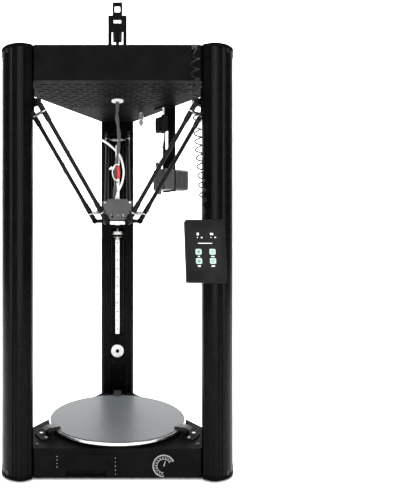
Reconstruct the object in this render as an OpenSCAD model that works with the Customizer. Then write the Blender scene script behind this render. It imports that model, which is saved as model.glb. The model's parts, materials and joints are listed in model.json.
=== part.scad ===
// Delta 3D printer: three belt-driven columns, a round heated glass bed,
// a magnet-mounted touch screen and a remote filament drive.
// Z is up, the floor is z = 0, and the screen side is -Y.

/* [Frame] */
// Height of the columns with both end caps
body_h = 742; // [740:1:760]
// Distance from the machine axis to the inner face of a column
col_in = 185; // [184:1:187]
// Width of a column
col_w = 74; // [72:1:76]
// Depth of a column
col_d = 42.6; // [42:0.2:43.4]
// Radius of the round back of a column
back_r = 41.4; // [41:0.2:42]
// Chamfer along the inner edges of a column
col_bevel = 5; // [4:0.5:6]
// Width of the belt channel in a column
ch_w = 37; // [36:1:38]
// Depth of the belt channel
ch_d = 12; // [11.5:0.5:13]
// Distance from the machine axis to the flat side panels
panel_in = 125; // [124:1:127]
// Thickness of the sheet metal
sheet = 2; // [1.5:0.5:2.5]

/* [Base] */
// Top of the base deck above the floor
base_top = 54; // [54:1:56]
// Underside of the base tray above the floor
base_z = 4; // [4:1:5]
// Diameter of the heated bed
bed_d = 263; // [258:1:264]
// Diameter of the glass plate
glass_d = 259; // [250:1:260]
// Height of the print surface above the deck
glass_rise = 12.5; // [12:0.5:14]

/* [Top] */
// Height of the top box
top_h = 61; // [60:1:64]
// Height of the spool bracket above the top box
spool_h = 130; // [125:1:135]
// Length of the spool arm
spool_arm_len = 92; // [80:1:95]

/* [Motion] */
// Height of the upper ball joints in the rest pose
car_z = 650; // [644:1:650]
// Distance from the machine axis to the upper ball joints
car_r = 172.5; // [171.5:0.5:172.5]
// Height of the lower ball joints in the rest pose
eff_z = 445; // [442:1:447]
// Distance from the machine axis to the lower ball joints
eff_r = 37.6; // [37:0.2:38]
// Half the distance between the two rods of a pair
rod_half = 22.8; // [22.4:0.2:23.6]
// Radius of a carbon rod
rod_r = 4; // [3:0.5:4]
// Radius of a ball stud
ball_r = 4; // [3.5:0.5:4]
// Pitch radius of the belt pulleys
pulley_r = 12.73; // [12.7:0.01:12.8]
// Radius of the motor shafts
shaft_r = 2.5; // [2:0.1:2.5]

/* [Screen] */
// Width of the touch screen housing
scr_w = 66; // [64:1:68]
// Length of the touch screen housing
scr_h = 105; // [102:1:108]
// Lean of the touch screen from upright, in degrees
scr_tilt = 15; // [12:1:16]

/* [Hidden] */

// Bearings of the three columns about the machine axis
LEFT = 210;
RIGHT = 330;
REAR = 90;
TOWERS = [LEFT, RIGHT, REAR];
// Bearings of the three side panels
FRONT = 270;
SIDE_RIGHT = 30;
SIDE_LEFT = 150;
// Distance from the machine axis to the outer face of a column
col_out = col_in + col_d;
// Screen housing: centre of its back face from the machine axis, and its thickness
scr_pos = [144, -150.2, 389];
scr_t = 11;
// Overhang of the end caps, and the front and rear limits of the whole machine
cap_over = 0.8;
rear_limit = col_out + cap_over;
front_limit = scr_pos[1] - scr_t * cos(scr_tilt) - scr_h / 2 * sin(scr_tilt);
// Setback of the machine axis, which puts the origin under the middle of the whole
axis_y = -(rear_limit + front_limit) / 2;
// Height of the end caps and of the rubber feet
cap_h = 7;
foot_h = 3;
// Underside of the top box
top_z = body_h - top_h - 1;
lid_z = body_h - 4;
// Channel floor and the rail on it
ch_floor = col_in + ch_d;
rail_w = 9;
rail_h = 6.5;
rail_y = ch_floor - rail_h;
rail_z0 = 190;
rail_z1 = 672;
rail_pitch = 20;
// Heights of the two pulley axes
drive_z = 710;
idler_z = 151;
// Belt thickness and the depths between which it runs
belt_t = 1.4;
belt_y0 = 187.1;
belt_y1 = 192.9;
belt_r = pulley_r;
// Square motor size and its bolt spacing
motor_w = 42.3;
motor_bolt = 31;
running = 0.05;
gap = 0.3;
// Bed plates
skirt_top = base_top + 6;
glass_z = base_top + glass_rise;
glass_t = 3.4;
// Drawer opening in the front panel
drawer_x0 = -104;
drawer_x1 = -2;
drawer_z0 = 5;
drawer_z1 = 44;
drawer_len = 92;
// Lever pivot of a bed clip
clip_y = 141;
clip_z = base_top + 8;
$fn = 64;

// Places its children about the machine axis
module on_axis() translate([0, axis_y, 0]) children();

// Turns its children so that +Y points outwards at the given bearing
module facing(bearing) on_axis() rotate([0, 0, bearing - 90]) children();

module each_tower() for (t = TOWERS) facing(t) children();

// A box given by its low and high limits along each axis
module block(x, y, z)
    translate([x[0], y[0], z[0]]) cube([x[1] - x[0], y[1] - y[0], z[1] - z[0]]);

// Flat shapes raised along Z, Y (drawn in X, Z) or X (drawn in Y, Z)
module slab_z(z) translate([0, 0, z[0]]) linear_extrude(height = z[1] - z[0]) children();
module slab_y(y)
    translate([0, y[1], 0]) rotate([90, 0, 0]) linear_extrude(height = y[1] - y[0]) children();
module slab_x(x)
    translate([x[0], 0, 0]) rotate([90, 0, 90]) linear_extrude(height = x[1] - x[0]) children();

// Round bars along Y and along X
module bar_y(r, y, x = 0, z = 0)
    translate([x, y[0], z]) rotate([-90, 0, 0]) cylinder(r = r, h = y[1] - y[0]);
module bar_x(r, x, y = 0, z = 0)
    translate([x[0], y, z]) rotate([0, 90, 0]) cylinder(r = r, h = x[1] - x[0]);
module bar_z(r, z, x = 0, y = 0)
    translate([x, y, z[0]]) cylinder(r = r, h = z[1] - z[0]);

// Rectangle with round corners, centred, made of exact arcs
module round_rect(w, h, r) {
    square([w - 2 * r, h], center = true);
    square([w, h - 2 * r], center = true);
    for (sx = [-1, 1], sy = [-1, 1])
        translate([sx * (w / 2 - r), sy * (h / 2 - r)]) circle(r = r);
}

// Six-sided deck outline between the three panels and the three columns
function deck_half(rc, rp) = (rp - rc / 2) / sin(60);
function deck_points(inset) = [
    for (t = [REAR, LEFT, RIGHT], s = [1, -1])
        let (rc = col_in - inset, u = s * deck_half(rc, panel_in - inset))
        [rc * cos(t) + u * sin(t), rc * sin(t) - u * cos(t)]
];
module deck(inset = 0) polygon(deck_points(inset));
// ---------------------------------------------------------------- columns

// Centre of the round back of the column section
back_c = col_out - back_r;

module column_outline(grow = 0) intersection() {
    half = col_w / 2 + grow;
    translate([0, back_c]) circle(r = back_r + grow);
    polygon([[-col_w / 2 + col_bevel, col_in], [col_w / 2 - col_bevel, col_in], [half, col_in + col_bevel],
        [half, col_out + 5], [-half, col_out + 5], [-half, col_in + col_bevel]]);
}

// Places its children on the round back, an angle away from the flank on each side
module on_back(s, a) translate([0, back_c, 0]) rotate([0, 0, 90 - s * (90 - a)]) translate([back_r, 0, 0]) children();

// Aluminium extrusion: open channel, hollow chambers, narrow outer grooves
module column_section() {
    groove_w = 1.8;
    groove_d = 1.6;
    difference() {
        column_outline();
        translate([-ch_w / 2, col_in - 1]) square([ch_w, ch_d + 1]);
        translate([-12.5, ch_floor + 3]) square([25, col_out - ch_floor - 8]);
        for (s = [-1, 1]) {
            translate([s * 22.5, back_c + 21.8]) circle(r = 6.5);
            translate([s * (ch_w / 2 + 9.5), col_in + 7.5]) circle(r = 4);
            for (a = [29.5, 43.2, 52.5])
                on_back(s, a) square([2 * groove_d, groove_w], center = true);
            for (i = [0:1])
                translate([s * (ch_w / 2 + 4.5 + 5 * i), col_in]) circle(r = 0.8);
            translate([s * col_w / 2, col_in + 10.8]) square([2 * groove_d, groove_w], center = true);
        }
    }
}

module column(bearing)
    color("#17181a") facing(bearing)
        slab_z([foot_h + cap_h - 1, body_h - cap_h]) column_section();

module column_left() column(LEFT);
module column_right() column(RIGHT);
module column_rear() column(REAR);

// Moulded cap with a raised centre pad
module end_cap() {
    slab_z([0, cap_h - 2]) column_outline(cap_over);
    slab_z([cap_h - 2.5, cap_h]) column_outline(-1.6);
}

module column_caps() color("#101112") each_tower() {
    translate([0, 0, body_h - cap_h]) end_cap();
    translate([0, 0, foot_h + cap_h - 1]) mirror([0, 0, 1]) slab_z([0, cap_h - 1]) column_outline(cap_over);
}

// Two round rubber feet under each column
module feet() color("#0c0c0c") each_tower() for (s = [-1, 1])
    translate([s * 22, col_in + 20, 0]) {
        cylinder(r = 8, h = foot_h);
    }

// ---------------------------------------------------------------- linear drive

module rail_section() difference() {
    translate([-rail_w / 2, rail_y]) square([rail_w, rail_h]);
    for (s = [-1, 1])
        translate([s * rail_w / 2, rail_y + 3.2]) circle(r = 0.9);
}

module linear_rails() color("#c9cccf") each_tower() difference() {
    slab_z([rail_z0, rail_z1]) rail_section();
    for (z = [rail_z0 + 11:rail_pitch:rail_z1 - 5]) {
        bar_y(1.75, [rail_y - 1, ch_floor + 1], z = z);
        bar_y(3, [rail_y - 1, rail_y + 3.5], z = z);
    }
}

// Outline of a belt loop, at a distance from its pitch line
module belt_path(grow) {
    for (z = [idler_z, drive_z])
        translate([0, z]) circle(r = belt_r + grow);
    translate([-belt_r - grow, idler_z]) square([2 * (belt_r + grow), drive_z - idler_z]);
}

module belts() color("#141414") each_tower()
    slab_y([belt_y0, belt_y1]) difference() {
        belt_path(belt_t);
        belt_path(0);
    }

// Flanged pulley on the axis of the given height, between depths y0 and y1
module pulley(z, bore) {
    rim_r = belt_r - 0.25;
    difference() {
        union() {
            bar_y(rim_r, [belt_y0 - 0.8, belt_y1 + 0.8], z = z);
            for (y = [belt_y0 - 0.9, belt_y1 + 0.1])
                bar_y(rim_r + 1.9, [y, y + 0.8], z = z);
        }
        if (bore > 0)
            bar_y(bore, [belt_y0 - 2, belt_y1 + 2], z = z);
    }
}

// Drive pulley pressed on the motor shaft
module drive_pulley(bearing) color("#b9bcc0") facing(bearing) {
    pulley(drive_z, 0);
    bar_y(shaft_r, [col_in - 26, belt_y1 + 2], z = drive_z);
}
module drive_pulley_left() drive_pulley(LEFT);
module drive_pulley_right() drive_pulley(RIGHT);
module drive_pulley_rear() drive_pulley(REAR);

idler_pin_r = 2.5;
module idler_pulley(bearing)
    color("#b9bcc0") facing(bearing) pulley(idler_z, idler_pin_r + running);
module idler_pulley_left() idler_pulley(LEFT);
module idler_pulley_right() idler_pulley(RIGHT);
module idler_pulley_rear() idler_pulley(REAR);

// Two clamp blocks joined by a back plate that carries the idler pin
module idler_brackets() color("#1d1f21") each_tower() {
    block_u = ch_w / 2 - 0.5;
    block_y = [col_in - 2.5, ch_floor];
    lower = [122, 135.5];
    upper = [166.5, 187];
    strand = [belt_r - 0.6, belt_r + belt_t + 0.6];
    difference() {
        union() {
            block([-block_u, block_u], block_y, lower);
            block([-block_u, block_u], block_y, upper);
            block([-11, 11], [belt_y1 + 1.2, ch_floor], [lower[0], upper[1]]);
            bar_y(idler_pin_r, [belt_y0 - 1.6, ch_floor - 1], z = idler_z);
            bar_y(4.2, [belt_y0 - 2.4, belt_y0 - 1.2], z = idler_z);
        }
        for (s = [0, 1]) mirror([s, 0, 0])
            block(strand, [belt_y0 - 0.6, belt_y1 + 0.6], [upper[0] - 1, upper[1] + 1]);
        for (z = [129, 177])
            bar_y(2.6, [col_in - 3, col_in + 1.5], z = z);
    }
}

// Stepper body with chamfered corners, a pilot boss and four threaded holes
module stepper(length, face_y, z) difference() {
    union() {
        slab_y([face_y - length, face_y]) translate([0, z]) intersection() {
            square(motor_w, center = true);
            rotate(45) square(motor_w * 1.29, center = true);
        }
        bar_y(11, [face_y - 1, face_y + sheet], z = z);
    }
    bar_y(shaft_r + running, [face_y - length + 8, face_y + 3], z = z);
    for (sx = [-1, 1], sz = [-1, 1])
        bar_y(1.25, [face_y - 4.5, face_y + 1], x = sx * motor_bolt / 2, z = z + sz * motor_bolt / 2);
    for (y = [face_y - length + 9, face_y - 10])
        difference() {
            slab_y([y, y + 0.8]) translate([0, z]) square(motor_w + 2, center = true);
            slab_y([y - 1, y + 2]) translate([0, z]) square(motor_w - 1.2, center = true);
        }
}

module tower_motors() color("#2a2c2e") each_tower() stepper(38, col_in - sheet, drive_z);

// ---------------------------------------------------------------- base

// Half length of the front panel
front_half = deck_half(col_in, panel_in) * cos(60) + col_in * sin(60);

// Opening and body of the mains inlet, in the right-hand panel's own frame
inlet_u = [-16, 36];
inlet_z = [14, 45];
inlet_depth = 22;

module base_tray() color("#1b1c1e") difference() {
    union() {
        difference() {
            on_axis() slab_z([base_z, base_top - 3]) deck();
            on_axis() slab_z([base_z + 2.5, base_top]) deck(sheet);
        }
        // Guides beside and behind the drawer
        on_axis() for (x = [drawer_x0 - 4, drawer_x1 + 0.8])
            block([x, x + 3.2], [-panel_in + sheet, -panel_in + drawer_len], [base_z + 2, 20]);
    }
    on_axis() block([drawer_x0 - 0.5, drawer_x1 + 0.5], [-panel_in - 1, -panel_in + sheet + 0.5],
        [drawer_z0 + 1.5, drawer_z1 + 0.5]);
    facing(SIDE_RIGHT)
        block([inlet_u[0] + 2, inlet_u[1] - 2], [panel_in - 3, panel_in + 1], [inlet_z[0] + 2, inlet_z[1] - 2]);
    // Cooling slots in the floor and the left-hand panel
    on_axis() for (i = [0:9], j = [0:2])
        block([-64 + 13 * i, -56 + 13 * i], [4 + 24 * j, 7 + 24 * j], [base_z - 1, base_z + 4]);
    facing(SIDE_LEFT) for (i = [0:13])
        slab_y([panel_in - 3, panel_in + 1]) translate([-46 + 7 * i, 28]) round_rect(3, 22, 1.49);
}

module base_cover() color("#202224") difference() {
    on_axis() slab_z([base_top - 3, base_top]) deck();
    on_axis() bar_z(12, [base_top - 4, base_top + 1], y = 70);
    // Screw holes near the three corners
    each_tower() for (s = [-1, 1])
        bar_z(1.6, [base_top - 4, base_top + 1], x = s * 24, y = col_in - 10);
}

module bed_skirt() color("#0f0f10") on_axis() slab_z([base_top, skirt_top]) difference() {
    circle(r = bed_d / 2 - 7, $fn = 96);
    circle(r = bed_d / 2 - 21, $fn = 96);
}

// Aluminium plate with a raised outer rim
module bed_heater() color("#b4b8bb") on_axis() difference() {
    rotate_extrude($fn = 128) polygon([
        [0, skirt_top], [bed_d / 2 - 1, skirt_top], [bed_d / 2, skirt_top + 1],
        [bed_d / 2, glass_z - glass_t + 1.2], [bed_d / 2 - 0.6, glass_z - glass_t + 1.8],
        [glass_d / 2 + 0.15, glass_z - glass_t + 1.8], [glass_d / 2 + 0.15, glass_z - glass_t],
        [0, glass_z - glass_t]
    ]);
    each_tower() block([-9.5, 9.5], [glass_d / 2 + 0.1, bed_d / 2 + 1],
        [glass_z - glass_t, glass_z + 1]);
}

module bed_glass() color("#6f7f80") on_axis() rotate_extrude($fn = 128) polygon([
    [0, glass_z - glass_t], [glass_d / 2, glass_z - glass_t], [glass_d / 2, glass_z - 0.6],
    [glass_d / 2 - 0.6, glass_z], [0, glass_z]
]);

clip_pin_r = 1.5;
// Base plate and two ears that hold the pivot pin of each bed clip
module clip_bases() color("#1a1b1c") each_tower() difference() {
    union() {
        block([-17, 17], [clip_y - 6, 163], [base_top, base_top + 3]);
        for (s = [0, 1]) mirror([s, 0, 0])
            slab_x([8.5, 11.5]) {
                translate([clip_y, clip_z]) circle(r = 4);
                translate([clip_y - 4, base_top + 1]) square([8, clip_z - base_top - 1]);
            }
        bar_x(clip_pin_r, [-11.4, 11.4], y = clip_y, z = clip_z);
    }
    for (s = [-1, 1])
        bar_z(1.6, [base_top - 1, base_top + 4], x = s * 12, y = 153);
}

// Over-centre lever whose nose rests just above the glass
module clip_latch(bearing) facing(bearing) {
    over = glass_z + gap;
    difference() {
        union() {
            color("#161718") slab_x([-8, 8]) {
                translate([clip_y, clip_z]) circle(r = 3.6);
                polygon([[clip_y - 3.4, clip_z - 0.5], [clip_y + 3.6, clip_z],
                    [clip_y + 5, clip_z + 7], [clip_y - 4, over + 4.2], [clip_y - 7, over + 1.2]]);
            }
            color("#8a8d90") slab_x([-8, 8]) polygon([
                [glass_d / 2 - 7, over], [clip_y - 3, over], [clip_y + 5.5, over + 2.6],
                [clip_y + 11, over + 0.6], [clip_y + 11.4, over + 2.4], [clip_y + 4, over + 5.6],
                [glass_d / 2 - 5, over + 4.2]
            ]);
        }
        bar_x(clip_pin_r + running, [-9, 9], y = clip_y, z = clip_z);
    }
}
module clip_latch_left() clip_latch(LEFT);
module clip_latch_right() clip_latch(RIGHT);
module clip_latch_rear() clip_latch(REAR);

// Storage drawer: open tray with a taller front and a finger slot at its lower edge
module drawer() color("#1d1e20") on_axis() difference() {
    union() {
        block([drawer_x0, drawer_x1], [-panel_in - 1, -panel_in + 1.5], [drawer_z0 + 2, drawer_z1]);
        block([drawer_x0 + 1.2, drawer_x1 - 1.2], [-panel_in, -panel_in + drawer_len],
            [drawer_z0 + 2, drawer_z1 - 5]);
    }
    block([drawer_x0 + 3.2, drawer_x1 - 3.2], [-panel_in + 9, -panel_in + drawer_len - 2],
        [drawer_z0 + 4, drawer_z1]);
    slab_y([-panel_in - 2, -panel_in + 6])
        translate([(drawer_x0 + drawer_x1) / 2, drawer_z0 + 1.6]) round_rect(70, 22, 3);
}

module power_supply() color("#9a9da0") on_axis() difference() {
    block([-75, 75], [12, 97], [base_z + 2.5, base_z + 34]);
    block([-76, -60], [10, 99], [base_z + 20, base_z + 40]);
    for (i = [0:11], j = [0:3])
        bar_z(2, [base_z + 33, base_z + 36], x = -40 + 9 * i, y = 38 + 9 * j);
}

// Control board with heat sinks, plugs and a fuse block
module mainboard() color("#1f5b3a") on_axis() {
    board_z = base_z + 8.5;
    difference() {
        block([8, 118], [-112, -26], [board_z, board_z + 1.6]);
        for (x = [12, 114], y = [-108, -30])
            bar_z(1.6, [board_z - 1, board_z + 3], x = x, y = y);
    }
    for (i = [0:3])
        block([20 + 22 * i, 32 + 22 * i], [-88, -76], [board_z + 1.6, board_z + 14]);
    block([50, 66], [-60, -44], [board_z + 1.6, board_z + 3.6]);
    for (i = [0:5])
        block([14 + 16 * i, 26 + 16 * i], [-109, -101], [board_z + 1.6, board_z + 9]);
    block([84, 112], [-60, -46], [board_z + 1.6, board_z + 14]);
}

// Mains inlet: flange, shrouded socket with three blades, and a bay for the rocker
rocker_u = [19.5, 31.5];
rocker_y = panel_in - 3.5;
rocker_z = (inlet_z[0] + inlet_z[1]) / 2;
rocker_pin_r = 1.1;
module power_inlet() color("#0e0e0f") facing(SIDE_RIGHT) difference() {
    union() {
        slab_y([panel_in, panel_in + 2]) translate([(inlet_u[0] + inlet_u[1]) / 2, rocker_z])
            round_rect(inlet_u[1] - inlet_u[0], inlet_z[1] - inlet_z[0], 3);
        block([inlet_u[0] + 2.5, inlet_u[1] - 2.5], [panel_in - inlet_depth, panel_in + 1],
            [inlet_z[0] + 2.5, inlet_z[1] - 2.5]);
    }
    difference() {
        slab_y([panel_in - 17, panel_in + 3]) translate([1.5, rocker_z]) round_rect(24, 16.5, 2);
        for (p = [[-7, -2], [0, 2.5], [7, -2]])
            slab_y([panel_in - 18, panel_in - 3]) translate([1.5 + p[0], rocker_z + p[1]])
                square([2, 4.5], center = true);
    }
    block(rocker_u, [panel_in - 12, panel_in + 3], [rocker_z - 9.8, rocker_z + 9.8]);
    bar_x(rocker_pin_r + running, [rocker_u[0] - 1.5, rocker_u[1] + 1.5], y = rocker_y, z = rocker_z);
}

// Rocker switch, drawn in its off position
module power_switch() color("#b3261e") facing(SIDE_RIGHT)
    translate([0, rocker_y, rocker_z]) rotate([-7, 0, 0]) {
        slab_x([rocker_u[0] + gap, rocker_u[1] - gap])
            polygon([[-3, -6], [-3, 6], [0, 8.8], [5.6, 8.8], [4.4, 0], [5.6, -8.8], [0, -8.8]]);
        bar_x(rocker_pin_r, [rocker_u[0] - 1.2, rocker_u[1] + 1.2]);
    }
// ---------------------------------------------------------------- top box

grommet_r = 9;
vent = [14, 4.5];
vent_pitch = [20, 14.5];

// True where a point lies inside the deck by the given margin from its panels
function within(x, y, m) =
    min([for (b = [FRONT, SIDE_RIGHT, SIDE_LEFT]) panel_in - m - x * cos(b) - y * sin(b)]) > 0
    && norm([x, y]) > 22 && x * cos(SIDE_RIGHT) + y * sin(SIDE_RIGHT) < 84;

// Bolt holes and boss hole of a motor whose face is at the origin plane
module motor_holes(y, z) {
    bar_y(11.2, y, z = z);
    for (sx = [-1, 1], sz = [-1, 1])
        bar_y(1.7, y, x = sx * motor_bolt / 2, z = z + sz * motor_bolt / 2);
}

module top_tray() color("#1b1c1e") difference() {
    on_axis() slab_z([top_z, lid_z]) deck();
    on_axis() slab_z([top_z + 3, lid_z + 1]) deck(sheet);
    on_axis() bar_z(grommet_r, [top_z - 1, top_z + 4]);
    on_axis() for (j = [-7:3], i = [-7:7])
        let (x = vent_pitch[0] * (i + (abs(j) % 2) / 2), y = vent_pitch[1] * j)
            if (within(x, y, 13))
                block([x - vent[0] / 2, x + vent[0] / 2], [y - vent[1] / 2, y + vent[1] / 2],
                    [top_z - 1, top_z + 4]);
    each_tower() motor_holes([col_in - 3, col_in + 1], drive_z);
}

// Bolt circle of the spool bracket foot, and the gland of the screen cord
spool_bolt = [13, 22];
gland_x = 130.5;
module top_lid() color("#202224") difference() {
    on_axis() slab_z([lid_z, lid_z + 3]) deck();
    on_axis() for (s = [-1, 1])
        bar_z(1.7, [lid_z - 1, lid_z + 4], x = s * spool_bolt[0], y = spool_bolt[1]);
    each_tower() for (s = [-1, 1])
        bar_z(1.6, [lid_z - 1, lid_z + 4], x = s * 24, y = col_in - 10);
}

// Bushing of the moving head's wiring, filament coupler and screen cord gland
coupler = [50.6, 101];
module top_fittings() color("#d8d9da") on_axis() {
    difference() {
        union() {
            bar_z(grommet_r - 0.2, [top_z - 1, top_z + 4]);
            bar_z(grommet_r + 2.5, [top_z - 3, top_z]);
        }
        bar_z(5.5, [top_z - 4, top_z + 5]);
    }
    translate([coupler[0], coupler[1], 0]) difference() {
        union() {
            bar_z(3.2, [top_z - 28, top_z]);
            bar_z(5.4, [top_z - 15, top_z - 4]);
            bar_z(4.6, [top_z - 25, top_z - 17]);
        }
        bar_z(1.1, [top_z - 29, top_z - 6]);
    }
    difference() {
        block([gland_x - 4.5, gland_x + 4.5], [-panel_in - 5, -panel_in], [lid_z - 7, lid_z + 2]);
        bar_y(1.4, [-panel_in - 6, -panel_in - 4], x = gland_x, z = lid_z - 2.5);
    }
}

// Bent sheet upright with two tall slots, two small windows and a foot
module spool_bracket() color("#131415") on_axis() {
    top = lid_z + 3;
    plate_top = top + spool_h - 27;
    half_w = 18.3;
    difference() {
        union() {
            block([-half_w, half_w], [-3, 0], [top, plate_top]);
            block([-half_w, half_w], [-3, 34], [top, top + 3]);
            for (s = [0, 1]) mirror([s, 0, 0])
                slab_x([half_w - 2.5, half_w])
                    polygon([[-1, top + 1], [32, top + 1], [12, top + 24], [9, plate_top], [-1, plate_top]]);
        }
        for (s = [-1, 1]) {
            block([s * 7 - 3.8, s * 7 + 3.8], [-4, 1], [top + 9, plate_top - 32]);
            block([s * 3.9 - 3, s * 3.9 + 3], [-4, 1], [plate_top - 15, plate_top - 8.5]);
            bar_z(1.7, [top - 1, top + 4], x = s * spool_bolt[0], y = spool_bolt[1]);
        }
    }
}

// Open channel that carries the reel, with an upturned ladder tab and a rear stop
module spool_arm() color("#131415") on_axis() {
    plate_top = lid_z + 3 + spool_h - 27;
    low = plate_top - 17;
    half_w = 9.6;
    difference() {
        union() {
            block([-half_w, half_w], [0, spool_arm_len], [low, plate_top]);
            block([-half_w, half_w], [0, 3], [low, lid_z + 3 + spool_h]);
            block([-half_w, half_w], [spool_arm_len - 3, spool_arm_len], [low, plate_top + 16]);
        }
        block([-half_w + 2.2, half_w - 2.2], [-1, spool_arm_len - 3], [low + 2.2, plate_top + 0.6]);
        block([-5, 5], [-1, 4], [plate_top + 7.5, plate_top + 19]);
        for (i = [0:4])
            block([-5, 5], [14 + 15 * i, 22 + 15 * i], [low - 1, low + 3]);
    }
}

// ---------------------------------------------------------------- filament drive

ext_z = 531;
ext_y = [98, 121.5];
bracket_y = [121.5, 124.5];
filament = [-7.1, 104];
ext_gear_r = 6.2;
lever_u = -14;
lever_z = ext_z - 14.5;
lever_pin_r = 2;

module extruder_bracket() color("#141516") facing(SIDE_RIGHT) difference() {
    union() {
        block([-20.5, 20.5], bracket_y, [ext_z - 24, top_z]);
        block([-20.5, 20.5], [100, bracket_y[1]], [top_z - 3, top_z]);
    }
    motor_holes([bracket_y[0] - 1, bracket_y[1] + 1], ext_z);
    slab_y([bracket_y[0] - 1, bracket_y[1] + 1])
        translate([-7.7, ext_z + 87]) round_rect(11.6, 46, 4);
    for (s = [-1, 1])
        bar_z(1.7, [top_z - 4, top_z + 1], x = s * 14, y = 107);
}

// Runout switch: a block with a through bore and a lever bump, on a short arm
module filament_sensor() color("#3a3c3e") facing(SIDE_RIGHT) difference() {
    union() {
        block([-11, 15], [96.5, 109], [628, 658.5]);
        block([-6, 6], [109, bracket_y[0]], [634, 652]);
        slab_y([94.5, 97]) translate([-2, 643]) round_rect(14, 24, 3);
        bar_z(4, [624.5, 629], x = 9, y = 102.5);
        bar_z(4, [658, 662], x = 9, y = 102.5);
    }
    bar_z(2.1, [620, 666], x = 9, y = 102.5);
    bar_y(1.6, [93, 100], x = -2, z = 650);
    bar_y(1.6, [93, 100], x = -2, z = 636);
}

// Drive housing, open towards the pressure lever
module extruder_body() color("#3c3e40") facing(SIDE_RIGHT) difference() {
    union() {
        slab_y(ext_y) translate([0, ext_z]) round_rect(42, 42, 3);
        bar_z(4.2, [ext_z - 29, ext_z - 20], x = filament[0], y = filament[1]);
        bar_z(3.4, [ext_z + 20, ext_z + 26], x = filament[0], y = filament[1]);
    }
    difference() {
        union() {
            block([-22, 9.5], [100.5, 113.4], [ext_z - 21.5, ext_z + 15]);
            block([-22, -10.2], [100.5, 113.4], [ext_z - 21.5, ext_z + 22]);
        }
        block([-22.5, 10], [100, 114], [ext_z - 22, ext_z - 19.2]);
        bar_y(lever_pin_r, [100, 114], x = lever_u, z = lever_z);
    }
    bar_y(shaft_r + 0.8, [96, 122], z = ext_z);
    bar_z(1.05, [ext_z - 30, ext_z + 27], x = filament[0], y = filament[1]);
    for (sx = [-1, 1], sz = [-1, 1])
        bar_y(2.8, [97, 99.4], x = sx * motor_bolt / 2, z = ext_z + sz * motor_bolt / 2);
}

module extruder_motor() color("#46484a") facing(SIDE_RIGHT)
    translate([0, 2 * bracket_y[1], 0]) mirror([0, 1, 0]) stepper(32, bracket_y[1], ext_z);

// Hobbed drive gear on the motor shaft
module extruder_gear() color("#b08d57") facing(SIDE_RIGHT) difference() {
    union() {
        bar_y(shaft_r, [99.5, bracket_y[1] + 22], z = ext_z);
        bar_y(ext_gear_r, [101, 107], z = ext_z);
        bar_y(ext_gear_r - 1, [107, 111], z = ext_z);
    }
    for (i = [0:17])
        translate([0, 0, ext_z]) rotate([0, 20 * i, 0]) translate([ext_gear_r, 104, 0])
            rotate([90, 0, 0]) cylinder(r = 0.45, h = 7, center = true, $fn = 4);
}

// Pressure lever with its bearing and thumb tab
module extruder_lever() color("#2c2e30") facing(SIDE_RIGHT) difference() {
    union() {
        slab_y([107.6, 112]) {
            translate([lever_u, lever_z]) circle(r = 4.4);
            polygon([[-18.4, lever_z], [-18.4, ext_z + 16], [-27, ext_z + 33], [-20, ext_z + 38],
                [-11, ext_z + 18], [-9.7, lever_z]]);
            translate([-23.5, ext_z + 35.5]) circle(r = 4.3);
        }
        bar_y(5.9, [101.4, 106.6], x = lever_u, z = ext_z);
        bar_y(2, [101.4, 109], x = lever_u, z = ext_z);
    }
    bar_y(lever_pin_r + running, [100, 114], x = lever_u, z = lever_z);
}

// ---------------------------------------------------------------- touch screen

glass_w = 51;
glass_h = 71;
glass_up = 2;

// Frame of the screen: X across, Z up its length, -Y out of its face
module at_screen() on_axis() translate(scr_pos) rotate([-scr_tilt, 0, 0]) children();

// Wedge between the right column's flat side and the back of the screen
module screen_mount() color("#121314") difference() {
    facing(RIGHT) block([col_w / 2, col_w / 2 + 40], [col_in + 6.5, col_in + 19], [366, 420]);
    at_screen() block([-60, 60], [-60, 0.02], [-80, 80]);
    facing(RIGHT) block([col_w / 2 - 1, col_w / 2 + 3], [col_in + 9.5, col_in + 16], [374, 412]);
}

module screen_housing() color("#2e3032") at_screen() {
    difference() {
        slab_y([-scr_t, 0]) round_rect(scr_w, scr_h, 3);
        slab_y([-scr_t + 5, -1.8]) round_rect(scr_w - 3.6, scr_h - 3.6, 2);
        slab_y([-scr_t - 1, -1.9]) translate([0, glass_up]) square([glass_w + 0.2, glass_h + 0.2], center = true);
        // Card slot in the left side
        block([-scr_w / 2 - 1, -scr_w / 2 + 3], [-5.5, -3], [-20, 6]);
    }
    bar_z(2.6, [scr_h / 2 - 0.5, scr_h / 2 + 5], y = -5.5);
}

// Display module with its board
module screen_glass() color("#050607") at_screen() {
    slab_y([-scr_t + 0.1, -scr_t + 3]) translate([0, glass_up]) square([glass_w, glass_h], center = true);
    slab_y([-scr_t + 3, -3.4]) translate([0, glass_up]) square([glass_w - 3, glass_h - 3], center = true);
}
// ---------------------------------------------------------------- moving head

stud_r = 2.2;
cup_r = 5.8;

// Cross bar with a ball at each end, along X at the given radius and height
module ball_bar(y, z, bar_r, half) {
    bar_x(bar_r, [-half, half], y = y, z = z);
    bar_x(stud_r, [-rod_half, rod_half], y = y, z = z);
    for (s = [-1, 1])
        translate([s * rod_half, y, z]) rotate([0, 90, 0]) sphere(r = ball_r);
}

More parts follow.
